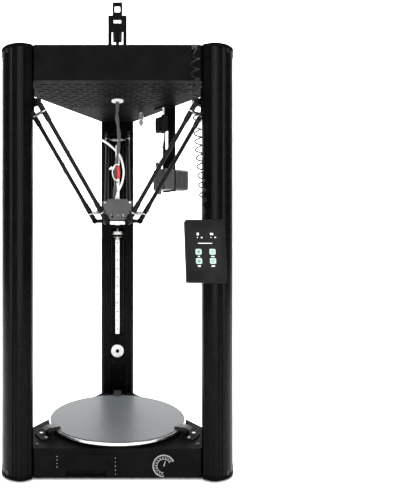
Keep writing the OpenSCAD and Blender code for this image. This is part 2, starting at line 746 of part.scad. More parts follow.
// Plate behind the rod pivots, linear block on the rail and a clamp on one belt strand
module carriage(bearing) color("#1c1d1f") facing(bearing) {
    plate_y = [col_in - 5.8, col_in - 0.8];
    jaw_z = [car_z - 8, car_z + 8];
    difference() {
        union() {
            slab_y(plate_y) translate([0, car_z - 1]) round_rect(46, 48, 4);
            slab_x([-14, 14]) translate([0, car_z])
                polygon([[car_r - 3, -6], [plate_y[1] - 1, -10], [plate_y[1] - 1, 10], [car_r - 3, 6]]);
            block([-10, 10], [plate_y[1] - 1, ch_floor - 1.2], [car_z - 18, car_z + 18]);
            block([10, 17], [plate_y[1] - 1, belt_y1 + 0.3], jaw_z);
            ball_bar(car_r, car_z, 3.4, 15);
        }
        block([-rail_w / 2 - 0.12, rail_w / 2 + 0.12], [rail_y - 0.12, ch_floor], [car_z - 20, car_z + 20]);
        block([belt_r - 0.35, belt_r + belt_t + 0.35], [belt_y0 - 0.35, belt_y1 + 1], [car_z - 20, car_z + 20]);
        for (s = [-1, 1], z = [car_z - 18, car_z + 16])
            bar_y(2.6, [plate_y[0] - 1, plate_y[0] + 2], x = s * 15, z = z);
    }
}
module carriage_left() carriage(LEFT);
module carriage_right() carriage(RIGHT);
module carriage_rear() carriage(REAR);

// Length and lean of the rods, from the two ball circles
rod_len = norm([car_r - eff_r, car_z - eff_z]);
rod_lean = atan2(car_r - eff_r, car_z - eff_z);

// Ball cup, open on the side that faces the other rod of the pair
module cup(side) rotate([0, side * 90, 0]) rotate_extrude() difference() {
    union() {
        circle(r = cup_r);
        square([3.4, cup_r + 1]);
    }
    circle(r = ball_r + 0.2);
    translate([-2 * cup_r, -3 * cup_r]) square([2 * cup_r, 6 * cup_r]);
    translate([-1, -3 * cup_r]) square([2 * cup_r, 3 * cup_r - 1.2]);
}

// Carbon rod with a moulded end and a ball cup at each end
module rod(side) {
    sleeve = 35;
    sleeve_r = 5;
    translate([0, 0, cup_r - 1]) cylinder(r = rod_r, h = rod_len - 2 * cup_r + 2);
    for (end = [0, 1])
        translate([0, 0, end * rod_len]) mirror([0, 0, end])
            translate([0, 0, cup_r - 1]) {
                cylinder(r = sleeve_r, h = sleeve - 3);
                translate([0, 0, sleeve - 3]) cylinder(r1 = sleeve_r, r2 = rod_r, h = 3);
            }
    for (z = [0, rod_len])
        translate([0, 0, z]) cup(side);
}

module arms(bearing) color("#0e0f10") facing(bearing)
    for (s = [-1, 1])
        translate([s * rod_half, eff_r, eff_z]) rotate([-rod_lean, 0, 0]) rod(s);
module arms_left() arms(LEFT);
module arms_right() arms(RIGHT);
module arms_rear() arms(REAR);

// Plate that carries the three ball bars round the nozzle opening
plate_t = 4;
module effector_plate() color("#1a1b1d") difference() {
    union() {
        on_axis() slab_z([eff_z - plate_t, eff_z]) circle(r = 31);
        each_tower() {
            block([-12.5, 12.5], [20, eff_r + 3], [eff_z - plate_t, eff_z]);
            ball_bar(eff_r, eff_z, 3.2, 15);
        }
    }
    on_axis() bar_z(13, [eff_z - plate_t - 1, eff_z + 1]);
    each_tower() for (s = [-1, 1])
        bar_z(1.6, [eff_z - plate_t - 1, eff_z + 1], x = s * 9, y = 25);
}

nozzle_z = glass_z + 339;
shroud_top = eff_z + 40;
ear_u = 23.3;
ear_z = shroud_top - 6.3;
// Finned heat sink, heat break, heater block, nozzle, coupler and the two cowl screws
module hotend() color("#b9bdc0") on_axis() {
    for (s = [-1, 1])
        translate([s * ear_u, -38, ear_z]) rotate([90, 0, 0]) screw_head(1.9, 1);
    difference() {
        union() {
            rotate_extrude() {
                translate([0, eff_z - plate_t - 2]) square([4, shroud_top - eff_z + 2]);
                for (i = [0:8])
                    translate([0, eff_z + 6 + 3.4 * i]) square([10.5, 1.6]);
                translate([0, eff_z - plate_t - 18]) square([1.6, 18]);
                polygon([[0, nozzle_z], [0.8, nozzle_z], [3.4, nozzle_z + 3], [3.4, nozzle_z + 5],
                    [4, nozzle_z + 5], [4, nozzle_z + 8.5], [0, nozzle_z + 8.5]]);
                translate([0, shroud_top - 6]) square([3.2, 6]);
                polygon([[0, shroud_top - 0.5], [4.4, shroud_top - 0.5], [4.4, shroud_top + 4],
                    [3.2, shroud_top + 6], [0, shroud_top + 6]]);
            }
            block([-8, 8], [-12, 8], [nozzle_z + 8, nozzle_z + 19]);
            bar_x(3, [-11, 11], y = -7, z = nozzle_z + 13);
        }
        bar_z(1, [nozzle_z + 5, shroud_top + 7]);
    }
}

// Front cowl of the heat sink, with a top plate and ears for two screws
fan_z = eff_z + 24;
fan_y = -32;
module hotend_shroud() color("#46484a") on_axis() {
    h = shroud_top - eff_z;
    outline = [[17.9, h], [19.5, h - 3.5], [28.3, h - 4], [28.3, h - 10], [25.5, h - 17], [13, 0.3]];
    both = concat(outline, [for (i = [5:-1:0]) [-outline[i][0], outline[i][1]]]);
    difference() {
        slab_y([-38, -14]) translate([0, eff_z]) polygon(both);
        slab_y([-36, -13]) translate([0, eff_z])
            polygon([[16.4, h - 2], [23, h - 12], [11.5, 2], [-11.5, 2], [-23, h - 12], [-16.4, h - 2]]);
        for (s = [-1, 1])
            slab_y([-39, -35]) translate([s * 9.6, eff_z + 10]) round_rect(4, 10, 1.5);
        bar_y(2.6, [-39, -35], z = eff_z + 9);
        for (s = [-1, 1])
            bar_y(1.5, [-39, -13], x = s * ear_u, z = ear_z);
    }
    bar_y(1.5, [-37, fan_y + 9], z = fan_z);
    bar_y(4, [-37, fan_y - 2.4], z = fan_z);
    difference() {
        block([-17.9, 17.9], [-15, 17], [shroud_top - 2, shroud_top]);
        bar_z(4.7, [shroud_top - 3, shroud_top + 1]);
    }
    for (s = [0, 1]) mirror([s, 0, 0])
        block([15.9, 17.9], [-15, 17], [eff_z, shroud_top - 1]);
}

// Fan rotor with seven raked blades on a cupped hub
module hotend_fan_rotor() color("#151515") on_axis() translate([0, fan_y, fan_z]) difference() {
    union() {
        bar_y(5.4, [-2, 7]);
        for (i = [0:6])
            rotate([0, i * 360 / 7, 0]) translate([8.4, 2.5, 0]) rotate([38, 0, 0])
                cube([7, 8, 1], center = true);
    }
    bar_y(1.5 + running, [-3, 8]);
}

// Part cooling: a scroll behind the nozzle and a duct along each side
blower_c = [0, 31];
blower_r = 17;
blower_z = [eff_z - 36, eff_z - 9];
module part_blower() color("#1b1c1d") on_axis() {
    difference() {
        union() {
            bar_z(blower_r, blower_z, x = blower_c[0], y = blower_c[1]);
            for (s = [0, 1]) mirror([s, 0, 0])
                block([13, 28], [-34, blower_c[1]], blower_z);
            block([-28, 28], [-36, -20], [blower_z[0] + 5, blower_z[1]]);
        }
        bar_z(blower_r - 1.6, [blower_z[0] + 1.6, blower_z[1] - 1.6], x = blower_c[0], y = blower_c[1]);
        bar_z(9, [blower_z[0] - 1, blower_z[0] + 2], x = blower_c[0], y = blower_c[1]);
        for (s = [0, 1]) mirror([s, 0, 0]) {
            block([14.6, 26.4], [-32, blower_c[1] - 3], [blower_z[0] + 1.6, blower_z[1] - 1.6]);
            block([12, 15], [-12, 8], [blower_z[0] + 1.6, blower_z[0] + 8]);
        }
        block([-13, 13], [-34.5, -19], [blower_z[0] + 4, blower_z[1] - 1.5]);
        slab_y([-37, -34]) translate([0, blower_z[0] + 15.5]) round_rect(22, 12, 2);
    }
    bar_z(1.5, [blower_z[0] + 5, blower_z[1] - 1], x = blower_c[0], y = blower_c[1]);
}

// Blower wheel: hub, backing disc and a ring of straight vanes
module blower_wheel() color("#101010") on_axis() translate([blower_c[0], blower_c[1], 0]) difference() {
    union() {
        bar_z(5, [blower_z[0] + 5, blower_z[1] - 3]);
        bar_z(13, [blower_z[1] - 4.2, blower_z[1] - 3]);
        for (i = [0:17])
            rotate([0, 0, 20 * i]) block([10, 13], [-0.4, 0.4], [blower_z[0] + 5, blower_z[1] - 3.6]);
    }
    bar_z(1.5 + running, [blower_z[0] + 4, blower_z[1] - 2]);
}

// ---------------------------------------------------------------- fasteners

module screw_head(r, h) difference() {
    cylinder(r = r, h = h);
    translate([0, 0, h * 0.45]) cylinder(r = r * 0.52, h = h, $fn = 6);
}

module panel_screws() color("#b9bcbe") {
    // Clip bases and the corners of both decks
    each_tower() for (s = [-1, 1]) {
        translate([s * 12, 153, base_top + 3]) screw_head(2.8, 1.8);
        translate([s * 24, col_in - 10, base_top]) screw_head(2.6, 1.6);
        translate([s * 24, col_in - 10, lid_z + 3]) screw_head(2.6, 1.6);
        // Wide screws low and high on the round back of each column
        for (z = [13.2, body_h - 11.2])
            on_back(s, 70) translate([0, 0, z]) rotate([0, 90, 0]) screw_head(4, 0.8);
    }
    on_axis() for (s = [-1, 1])
        translate([s * spool_bolt[0], spool_bolt[1], lid_z + 6]) screw_head(2.8, 2);
}

// ---------------------------------------------------------------- cords

// Unit vector along a route at one of its points
function heading(p, i) =
    let (d = p[min(i + 1, len(p) - 1)] - p[max(i - 1, 0)]) d / norm(d);

// Ring of points square to the route, turned as little as possible from a fixed side
function ring(p, i, r, n) =
    let (t = heading(p, i), side = cross(t, [0.31, 0.95, 0.08]), a = side / norm(side), b = cross(t, a))
    [for (k = [0:n - 1]) p[i] + r * (cos(360 * k / n) * a + sin(360 * k / n) * b)];

// Point on a smooth curve through four neighbours
function spline_at(a, b, c, d, t) =
    0.5 * (2 * b + (c - a) * t + (2 * a - 5 * b + 4 * c - d) * pow(t, 2)
        + (3 * b - a - 3 * c + d) * pow(t, 3));

// Route points with extra points between them on a smooth curve
function smooth(p, steps) = [
    for (i = [0:len(p) - 2], s = [0:steps - 1])
        spline_at(p[max(i - 1, 0)], p[i], p[i + 1], p[min(i + 2, len(p) - 1)], s / steps),
    p[len(p) - 1]
];

// Round tube swept along a route
module tube(p, r, n = 8) {
    rings = len(p);
    points = [for (i = [0:rings - 1]) each ring(p, i, r, n)];
    sides = [for (i = [0:rings - 2], k = [0:n - 1])
        [i * n + k, (i + 1) * n + k, (i + 1) * n + (k + 1) % n, i * n + (k + 1) % n]];
    caps = [[for (k = [0:n - 1]) k], [for (k = [n - 1:-1:0]) (rings - 1) * n + k]];
    polyhedron(points, concat(sides, caps));
}

// Filament tube from the drive's outlet, round behind the head, to its coupler
tube_route = [
    [86.5, 58, 501.95], [86.5, 58, 499], [86.5, 58, 496], [85, 59, 487], [76, 66, 474], [56, 74, 463], [32, 78, 459], [0, 79, 460],
    [-34, 76, 466], [-66, 70, 479], [-92, 60, 500], [-107, 42, 530], [-106, 26, 562],
    [-91, 18, 590], [-70, 16, 603], [-48, 15, 608], [-28, 15, 604], [-6, 14, 587],
    [6, 11, 571], [12, 6, 545], [10, 2, 524], [4, 0, 508],
    [0.6, 0, 500], [0, 0, 496], [0, 0, 493.5], [0, 0, 491.05]
];
module bowden_tube() color("#f2f2ee") on_axis() tube(smooth(tube_route, 3), 2);

// Sleeved wiring from the bushing in the top box down to the moving head
loom_route = [
    [0, 0, 676.95], [0, 0, 674], [0, 0, 671], [-0.3, -0.7, 662], [-1, -2, 650], [1, -4, 630], [3, -5, 610], [2, -5, 590],
    [0, -5, 570], [-2, -4, 552], [-4, 0, 534], [-4, 4, 516], [-5, 9, 503],
    [-6, 11, 494], [-6, 11, 491], [-6, 11, 488], [-6, 11, 485.05]
];
module effector_loom() color("#3a3c3e") on_axis() tube(smooth(loom_route, 3), 3.6);

// Envelope of the curly screen cord, hanging from the gland to the screen
coil_top = [gland_x, -136.5, 729];
coil_end = [145, -141, 459];
coil_r = [8.6, 6.4];
module screen_coil() color("#0d0d0e") on_axis() {
    axis = coil_end - coil_top;
    translate(coil_top) rotate([0, acos(axis[2] / norm(axis)), atan2(axis[1], axis[0])])
        cylinder(r1 = coil_r[0], r2 = coil_r[1], h = norm(axis));
}

cord_r = 1.3;
tail_top = [
    [gland_x, -130, 735.5], [gland_x, -131.4, 735.5], [gland_x, -133, 735.1], [gland_x, -134.6, 734.1],
    [gland_x, -135.8, 732.4], [gland_x, -136.3, 730.6], [gland_x, -136.5, 729.3]
];
tail_end = [
    [145, -141, 458.6], [145, -141, 456], [144.7, -141, 453], [144.3, -140.5, 450], [144, -140.2, 447.2]
];
module screen_cord_tails() color("#0d0d0e") on_axis() {
    tube(tail_top, cord_r);
    tube(tail_end, cord_r);
}

// ---------------------------------------------------------------- nodes

base_tray();
base_cover();
bed_skirt();
bed_heater();
bed_glass();
clip_bases();
column_left();
column_right();
column_rear();
column_caps();
feet();
linear_rails();
belts();
idler_brackets();
tower_motors();
top_tray();
top_lid();
top_fittings();
mainboard();
power_supply();
spool_bracket();
spool_arm();
extruder_bracket();
filament_sensor();
extruder_body();
extruder_motor();
screen_mount();
power_inlet();
panel_screws();
drawer();
clip_latch_left();
clip_latch_right();
clip_latch_rear();
carriage_left();
carriage_right();
carriage_rear();
arms_left();
arms_right();
arms_rear();
effector_plate();
hotend();
hotend_shroud();
hotend_fan_rotor();
part_blower();
blower_wheel();
screen_housing();
screen_glass();
extruder_gear();
extruder_lever();
power_switch();
drive_pulley_left();
drive_pulley_right();
drive_pulley_rear();
idler_pulley_left();
idler_pulley_right();
idler_pulley_rear();
bowden_tube();
effector_loom();
screen_coil();
screen_cord_tails();
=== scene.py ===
import json
import math

import bmesh
import bpy
from mathutils import Matrix, Vector


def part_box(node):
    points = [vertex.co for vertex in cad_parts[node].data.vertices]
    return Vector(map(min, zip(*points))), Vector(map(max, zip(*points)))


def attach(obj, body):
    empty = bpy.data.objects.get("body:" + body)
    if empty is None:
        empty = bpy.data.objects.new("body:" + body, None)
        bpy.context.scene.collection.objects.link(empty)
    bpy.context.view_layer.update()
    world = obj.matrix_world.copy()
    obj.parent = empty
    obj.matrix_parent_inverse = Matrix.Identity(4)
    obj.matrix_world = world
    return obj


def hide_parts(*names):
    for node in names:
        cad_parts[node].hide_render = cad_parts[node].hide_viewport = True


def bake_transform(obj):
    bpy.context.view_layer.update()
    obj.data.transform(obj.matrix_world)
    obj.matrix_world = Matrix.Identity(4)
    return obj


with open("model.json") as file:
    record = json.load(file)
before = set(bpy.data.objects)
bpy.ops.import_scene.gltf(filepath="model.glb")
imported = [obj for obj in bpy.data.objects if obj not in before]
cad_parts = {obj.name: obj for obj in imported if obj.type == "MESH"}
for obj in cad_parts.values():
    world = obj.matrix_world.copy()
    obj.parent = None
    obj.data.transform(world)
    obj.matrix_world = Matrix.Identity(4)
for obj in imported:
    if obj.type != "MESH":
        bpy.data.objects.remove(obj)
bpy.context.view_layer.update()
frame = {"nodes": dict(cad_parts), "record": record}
NODES = frame["nodes"]
MM = 0.001

# ---------------------------------------------------------------- places read from the frame


def middle(node):
    """Middle of a CAD node's box."""
    lo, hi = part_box(node)
    return (lo + hi) / 2


# The machine axis stands behind the origin by the setback of the glass bed's centre
AXIS = Vector((0, middle("bed_glass").y, 0))
# Bearings of the three columns about that axis, in degrees from +X
TOWERS = {"left": 210, "right": 330, "rear": 90}


def mm(x, y, z):
    """A point given in millimetres from the machine axis."""
    return AXIS + Vector((x, y, z)) * MM


def facing(bearing):
    """Matrix of a tower's own frame: +Y outwards at that bearing, millimetres in, metres out."""
    turn = Matrix.Rotation(math.radians(bearing - 90), 4, "Z")
    return Matrix.Translation(AXIS) @ turn @ Matrix.Scale(MM, 4)


# ---------------------------------------------------------------- camera

# Distance in front of the machine axis and height above the floor, in metres
CAMERA_AWAY = 0.994
CAMERA_UP = 0.412


def make_camera():
    """Level camera in front of the machine, at the height of the middle of the build space."""
    data = bpy.data.cameras.new("view")
    data.lens = 44.0
    data.sensor_width = 36.0
    data.sensor_fit = "HORIZONTAL"
    data.shift_x = 0.219
    data.shift_y = -0.0287
    data.clip_start = 0.01
    camera = bpy.data.objects.new("view", data)
    camera.location = (0, AXIS.y - CAMERA_AWAY, CAMERA_UP)
    camera.rotation_euler = (math.radians(90), 0, 0)
    bpy.context.scene.collection.objects.link(camera)
    bpy.context.scene.camera = camera


make_camera()

# ---------------------------------------------------------------- sweeping helpers


def spline_at(a, b, c, d, t):
    """Point on a smooth curve through four neighbours, between the middle two."""
    bend = 2 * a - 5 * b + 4 * c - d
    twist = 3 * b - a - 3 * c + d
    return 0.5 * (2 * b + (c - a) * t + bend * t**2 + twist * t**3)


def smooth(points, steps):
    """The route on a smooth curve, with each stretch between its points cut into steps."""
    p = [Vector(q) for q in points]
    last = len(p) - 1
    line = []
    for i in range(last):
        four = [p[max(i - 1, 0)], p[i], p[i + 1], p[min(i + 2, last)]]
        line += [spline_at(*four, s / steps) for s in range(steps)]
    return line + [p[last]]


def frames_along(line):
    """For each point of a line its place and two square sides, turned as little as possible."""
    out = []
    side = None
    for i, point in enumerate(line):
        ahead = line[min(i + 1, len(line) - 1)] - line[max(i - 1, 0)]
        ahead = ahead.normalized()
        if side is None:
            side = ahead.orthogonal().normalized()
        side = (side - ahead * side.dot(ahead)).normalized()
        out.append((point, side, ahead.cross(side)))
    return out


def angles_round(sides):
    """Angles of the corners of a ring with that many sides."""
    return [2 * math.pi * k / sides for k in range(sides)]


def close_skin(mesh, rings):
    """Joins rings of corners one after the other into a tube and closes both its ends."""
    for low, high in zip(rings, rings[1:]):
        sides = len(low)
        for k in range(sides):
            n = (k + 1) % sides
            mesh.faces.new((low[k], low[n], high[n], high[k]))
    mesh.faces.new(rings[0][::-1])
    mesh.faces.new(rings[-1])


def add_tube(mesh, line, radius, sides):
    """Sweeps a closed round section along a line; the radius may be a function of the place from 0 to 1."""
    rings = []
    last = len(line) - 1
    for i, (point, a, b) in enumerate(frames_along(line)):
        r = radius(i / last) if callable(radius) else radius
        ring = [point + r * (math.cos(t) * a + math.sin(t) * b) for t in angles_round(sides)]
        rings.append([mesh.verts.new(place) for place in ring])
    close_skin(mesh, rings)


def add_lathe(mesh, profile, place, sides):
    """Turns a profile of (radius, height) points about Z, then puts it at a matrix."""
    rings = []
    for r, z in profile:
        ring = [Vector((r * math.cos(t), r * math.sin(t), z)) for t in angles_round(sides)]
        rings.append([mesh.verts.new(place @ point) for point in ring])
    close_skin(mesh, rings)


# Edges that turn by more than this many degrees stay sharp
SHARP_FROM = 40


def piece(name, mesh, slot, body="root", material=None):
    """Turns a bmesh into a named piece in a slot's material or its own, and lets it ride on a body."""
    bmesh.ops.recalc_face_normals(mesh, faces=mesh.faces)
    data = bpy.data.meshes.new(name)
    mesh.to_mesh(data)
    mesh.free()
    data.shade_smooth()
    data.set_sharp_from_angle(angle=math.radians(SHARP_FROM))
    obj = bpy.data.objects.new(name, data)
    bpy.context.scene.collection.objects.link(obj)
    data.materials.append(material or MATERIALS[slot])
    if body:
        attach(obj, body)
    return obj


# ---------------------------------------------------------------- cords

# Routes in millimetres from the machine axis. The tube leaves the filament drive, dips behind the head,
# and rises in one loop over the left side before it drops into the head.
TUBE_ROUTE = [
    (86.5, 58, 501.95), (86.5, 58, 499), (86.5, 58, 496), (85, 59, 487), (76, 66, 474), (56, 74, 463),
    (32, 78, 459), (0, 79, 460), (-34, 76, 466), (-66, 70, 479), (-92, 60, 500), (-107, 42, 530),
    (-106, 26, 562), (-91, 18, 590), (-70, 16, 603), (-48, 15, 608), (-28, 15, 604), (-6, 14, 587),
    (6, 11, 571), (12, 6, 545), (10, 2, 524), (4, 0, 508), (0.6, 0, 500), (0, 0, 496), (0, 0, 493.5),
    (0, 0, 491.05),
]
# The loom hangs from the bush under the top box to the cowl
LOOM_ROUTE = [
    (0, 0, 676.95), (0, 0, 674), (0, 0, 671), (-0.3, -0.7, 662), (-1, -2, 650), (1, -4, 630),
    (3, -5, 610), (2, -5, 590), (0, -5, 570), (-2, -4, 552), (-4, 0, 534), (-4, 4, 516),
    (-5, 9, 503), (-6, 11, 494), (-6, 11, 491), (-6, 11, 488), (-6, 11, 485.05),
]
# The curly cord: its coil, and the straight tails out of the gland above it and into the screen below it
COIL_TOP = (130.5, -136.5, 729)
COIL_END = (145, -141, 459)
TAIL_TOP = [
    (130.5, -130, 735.5), (130.5, -131.4, 735.5), (130.5, -133, 735.1), (130.5, -134.6, 734.1),
    (130.5, -135.8, 732.4), (130.5, -136.3, 730.6), (130.5, -136.5, 729.3),
]
TAIL_END = [
    (145, -141, 458.6), (145, -141, 456), (144.7, -141, 453), (144.3, -140.5, 450), (144, -140.2, 447.2),
]
TUBE_D = 4
LOOM_D = 7.2
# The loom's two sleeves lie this far from its middle and twist round each other this many times
LOOM_APART = 1.7
LOOM_TWISTS = 3.5
CURL_D = 2.6
CURL_TURNS = 18
CURL_STEPS = 20
# Radius of the coil's centreline at the top, and what it loses on the way down
CURL_R = 7.3
CURL_TAPER = 2.2
# Share of the coil's height in which its radius grows from nothing at either end
CURL_LEAD = 0.075
# How far turns are moved from the ends to the middle, so the narrow ones don't bend too tightly
CURL_EASE = 0.02
# Distance that the coil bows to the left
SAG = 3.5


def length_of(line):
    """Length along a line of points."""
    return sum((b - a).length for a, b in zip(line, line[1:]))


def curl_line():
    """Centreline of the curly cord: out of the gland, round its turns, and down into the screen."""
    top, end = Vector(COIL_TOP), Vector(COIL_END)
    steps = CURL_TURNS * CURL_STEPS
    along = (end - top).normalized()
    side = along.cross(Vector((0, 1, 0))).normalized()
    across = along.cross(side)
    turns = []
    for i in range(steps + 1):
        t = i / steps
        flare = min(1, t / CURL_LEAD, (1 - t) / CURL_LEAD)
        flare = flare * flare * (3 - 2 * flare)
        r = (CURL_R - CURL_TAPER * t) * flare
        angle = 2 * math.pi * CURL_TURNS * (t - CURL_EASE * math.sin(2 * math.pi * t))
        sag = Vector((-SAG * math.sin(math.pi * t), 0, 0))
        out = r * (math.cos(angle) * side + math.sin(angle) * across)
        turns.append(top + (end - top) * t + sag + out)
    line = smooth(TAIL_TOP, 3)[:-1] + turns + smooth(TAIL_END, 3)[1:]
    return [mm(*p) for p in line]


def make_curly_cord():
    """Coiled cord from the gland in the top box to the screen."""
    line = curl_line()
    mesh = bmesh.new()
    add_tube(mesh, line, CURL_D / 2 * MM, 10)
    cord = piece("screen_cord", mesh, "cord_black", body=None)
    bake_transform(cord)
    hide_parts("screen_coil", "screen_cord_tails")


def make_bowden_tube():
    """White filament tube from the drive to the head."""
    line = [mm(*p) for p in smooth(TUBE_ROUTE, 5)]
    mesh = bmesh.new()
    add_tube(mesh, line, TUBE_D / 2 * MM, 14)
    cord = piece("bowden_tube_run", mesh, "ptfe", body=None)
    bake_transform(cord)
    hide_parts("bowden_tube")


def make_loom():
    """Two braided sleeves twisted round each other from the top box down to the head."""
    line = [mm(*p) for p in smooth(LOOM_ROUTE, 6)]
    mesh = bmesh.new()
    apart = LOOM_APART * MM
    rings = frames_along(line)
    long = length_of(line)
    for start in (0, math.pi):
        run = 0.0
        strand = []
        for i, (point, a, b) in enumerate(rings):
            if i:
                run += (point - rings[i - 1][0]).length
            twist = start + 2 * math.pi * LOOM_TWISTS * run / long
            strand.append(point + apart * (math.cos(twist) * a + math.sin(twist) * b))
        add_tube(mesh, strand, LOOM_D * MM / 2 - apart, 12)
    cord = piece("loom_sleeves", mesh, "braid", body=None)
    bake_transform(cord)
    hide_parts("effector_loom")


# ---------------------------------------------------------------- materials


class Finish:
    """One procedural material, built round a Principled shader in the object's own coordinates."""

    def __init__(self, name, **sockets):
        self.material = bpy.data.materials.new(name)
        self.material.use_nodes = True
        self.tree = self.material.node_tree
        self.shader = self.tree.nodes["Principled BSDF"]
        self.place = self.add("ShaderNodeTexCoord").outputs["Object"]
        self.normal = None
        for socket, value in sockets.items():
            self.shader.inputs[socket.replace("_", " ")].default_value = value

    def add(self, kind, **settings):
        """New node; a setting is one of its properties, or else one of its sockets."""
        node = self.tree.nodes.new(kind)
        for key, value in settings.items():
            if hasattr(node, key):
                setattr(node, key, value)
            else:
                node.inputs[key.replace("_", " ")].default_value = value
        return node

    def link(self, out, into):
        self.tree.links.new(out, into)

    def stretched(self, x, y, z, turn=(0, 0, 0)):
        """The object's coordinates scaled apart along its axes."""
        node = self.add("ShaderNodeMapping")
        node.inputs["Scale"].default_value = (x, y, z)
        node.inputs["Rotation"].default_value = turn
        self.link(self.place, node.inputs["Vector"])
        return node.outputs["Vector"]

    def noise(self, scale, detail, place=None):
        node = self.add("ShaderNodeTexNoise", Scale=scale, Detail=detail)
        self.link(place or self.place, node.inputs["Vector"])
        return node.outputs["Fac"]

    def wave(self, scale, place):
        node = self.add("ShaderNodeTexWave", Scale=scale)
        self.link(place, node.inputs["Vector"])
        return node.outputs["Fac"]

    def cells(self, scale):
        node = self.add("ShaderNodeTexVoronoi", Scale=scale)
        self.link(self.place, node.inputs["Vector"])
        return node.outputs["Distance"]

    def between(self, fac, low, high, start=0.0, end=1.0):
        """fac spread from start..end onto low..high."""
        node = self.add("ShaderNodeMapRange")
        limits = {"From Min": start, "From Max": end, "To Min": low, "To Max": high}
        for socket, value in limits.items():
            node.inputs[socket].default_value = value
        self.link(fac, node.inputs["Value"])
        return node.outputs["Result"]

    def maths(self, operation, a, b):
        """Result of an operation on two values, each a number or a node's output."""
        node = self.add("ShaderNodeMath", operation=operation)
        for socket, value in zip(node.inputs, (a, b)):
            if isinstance(value, (int, float)):
                socket.default_value = value
            else:
                self.link(value, socket)
        return node.outputs["Value"]

    def colours(self, fac, *stops):
        """Colours by fac, each stop a place from 0 to 1 and a colour."""
        node = self.add("ShaderNodeValToRGB")
        ramp = node.color_ramp
        while len(ramp.elements) < len(stops):
            ramp.elements.new(0.5)
        for element, (at, colour) in zip(ramp.elements, stops):
            element.position = at
            element.color = (*colour, 1)
        self.link(fac, node.inputs["Fac"])
        return node.outputs["Color"]

    def mix(self, fac, a, b):
        """Colour from a at 0 to b at 1, each a colour or a node's output."""
        node = self.add("ShaderNodeMix", data_type="RGBA")
        self.link(fac, node.inputs["Factor"])
        for socket, value in ((node.inputs[6], a), (node.inputs[7], b)):
            if isinstance(value, tuple):
                socket.default_value = (*value, 1)
            else:
                self.link(value, socket)
        return node.outputs[2]

    def edges(self, radius=0.5):
        """1 along the sharp edges of the shape and 0 on its flats; also rounds the edges in the light."""
        bevel = self.add("ShaderNodeBevel", samples=4, Radius=radius * MM)
        true = self.add("ShaderNodeNewGeometry").outputs["Normal"]
        dot = self.add("ShaderNodeVectorMath", operation="DOT_PRODUCT")
        self.link(bevel.outputs["Normal"], dot.inputs[0])
        self.link(true, dot.inputs[1])
        self.normal = bevel.outputs["Normal"]
        return self.between(dot.outputs["Value"], 1.0, 0.0, 0.65, 0.98)

    def bump(self, height, depth, strength=1.0):
        """Adds relief of a depth in millimetres over what is there already."""
        node = self.add("ShaderNodeBump", Strength=strength, Distance=depth * MM)
        self.link(height, node.inputs["Height"])
        if self.normal:
            self.link(self.normal, node.inputs["Normal"])
        self.normal = node.outputs["Normal"]

    def done(self, colour=None, rough=None, metallic=None):
        """The material, with its colour, roughness and metal joined to the shader."""
        for socket, out in (("Base Color", colour), ("Roughness", rough), ("Metallic", metallic)):
            if out:
                self.link(out, self.shader.inputs[socket])
        if self.normal:
            self.link(self.normal, self.shader.inputs["Normal"])
        return self.material


def grey(value):
    return (value, value, value)


def coated(name, dark, light, rough, grain, depth, edge_highlight_and_wear_colour, **sockets):
    """Painted or moulded surface: mottled colour, fine grain, and lighter edges, partly rubbed wear and
    partly painted highlight.
    """
    f = Finish(name, **sockets)
    edge = f.edges()
    broad = f.noise(38, 5)
    fine = f.noise(grain, 3)
    skin = f.colours(broad, (0.3, dark), (0.7, light))
    # Lighter colour along the edges: partly rubbed wear, partly painted edge highlight
    edge_highlight_and_wear = f.maths("MULTIPLY", edge, f.between(f.noise(260, 4), 0.15, 0.9, 0.35, 0.65))
    f.bump(fine, depth)
    roughness = f.between(f.noise(90, 4), rough - 0.06, rough + 0.08, 0.3, 0.7)
    return f.done(f.mix(edge_highlight_and_wear, skin, edge_highlight_and_wear_colour), roughness)


def brushed(name, dark, light, rough, along=(1, 1, 0.03), metal=1.0):
    """Bare metal with fine scratches along one direction and faint stains."""
    f = Finish(name, Metallic=metal)
    f.edges(0.3)
    scratch = f.noise(2600, 2, f.stretched(*along))
    stain = f.noise(70, 5)
    blend = f.maths("ADD", f.maths("MULTIPLY", scratch, 0.6), f.maths("MULTIPLY", stain, 0.4))
    f.bump(scratch, 0.02, 0.6)
    colour = f.colours(blend, (0.32, dark), (0.68, light))
    return f.done(colour, f.between(blend, rough - 0.08, rough + 0.12, 0.3, 0.7))


def powder_black():
    return coated(
        "powder_black", grey(0.0024), grey(0.004),
        rough=0.52, grain=1500, depth=0.03, edge_highlight_and_wear_colour=grey(0.014), Specular_IOR_Level=0.01,
    )


def anodised_black():
    """Extruded column: fine streaks along its height."""
    f = Finish("anodised_black", Specular_IOR_Level=0.055)
    edge = f.edges(0.6)
    streak = f.noise(900, 3, f.stretched(1, 1, 0.012))
    broad = f.noise(24, 4)
    skin = f.colours(streak, (0.3, grey(0.0004)), (0.7, grey(0.0008)))
    # Lighter colour along the edges: partly rubbed wear, partly painted edge highlight
    edge_highlight_and_wear = f.maths("MULTIPLY", edge, f.between(broad, 0.3, 0.8, 0.35, 0.65))
    f.bump(streak, 0.003, 0.5)
    rough = f.between(f.maths("ADD", streak, broad), 0.2, 0.32, 0.7, 1.3)
    return f.done(f.mix(edge_highlight_and_wear, skin, grey(0.018)), rough)


def moulded_black():
    return coated(
        "moulded_black", grey(0.0012), grey(0.002),
        rough=0.46, grain=2600, depth=0.02, edge_highlight_and_wear_colour=grey(0.01), Specular_IOR_Level=0.012,
    )


def moulded_grey():
    return coated(
        "moulded_grey", grey(0.005), grey(0.009),
        rough=0.48, grain=2400, depth=0.02, edge_highlight_and_wear_colour=grey(0.04), Specular_IOR_Level=0.03,
    )


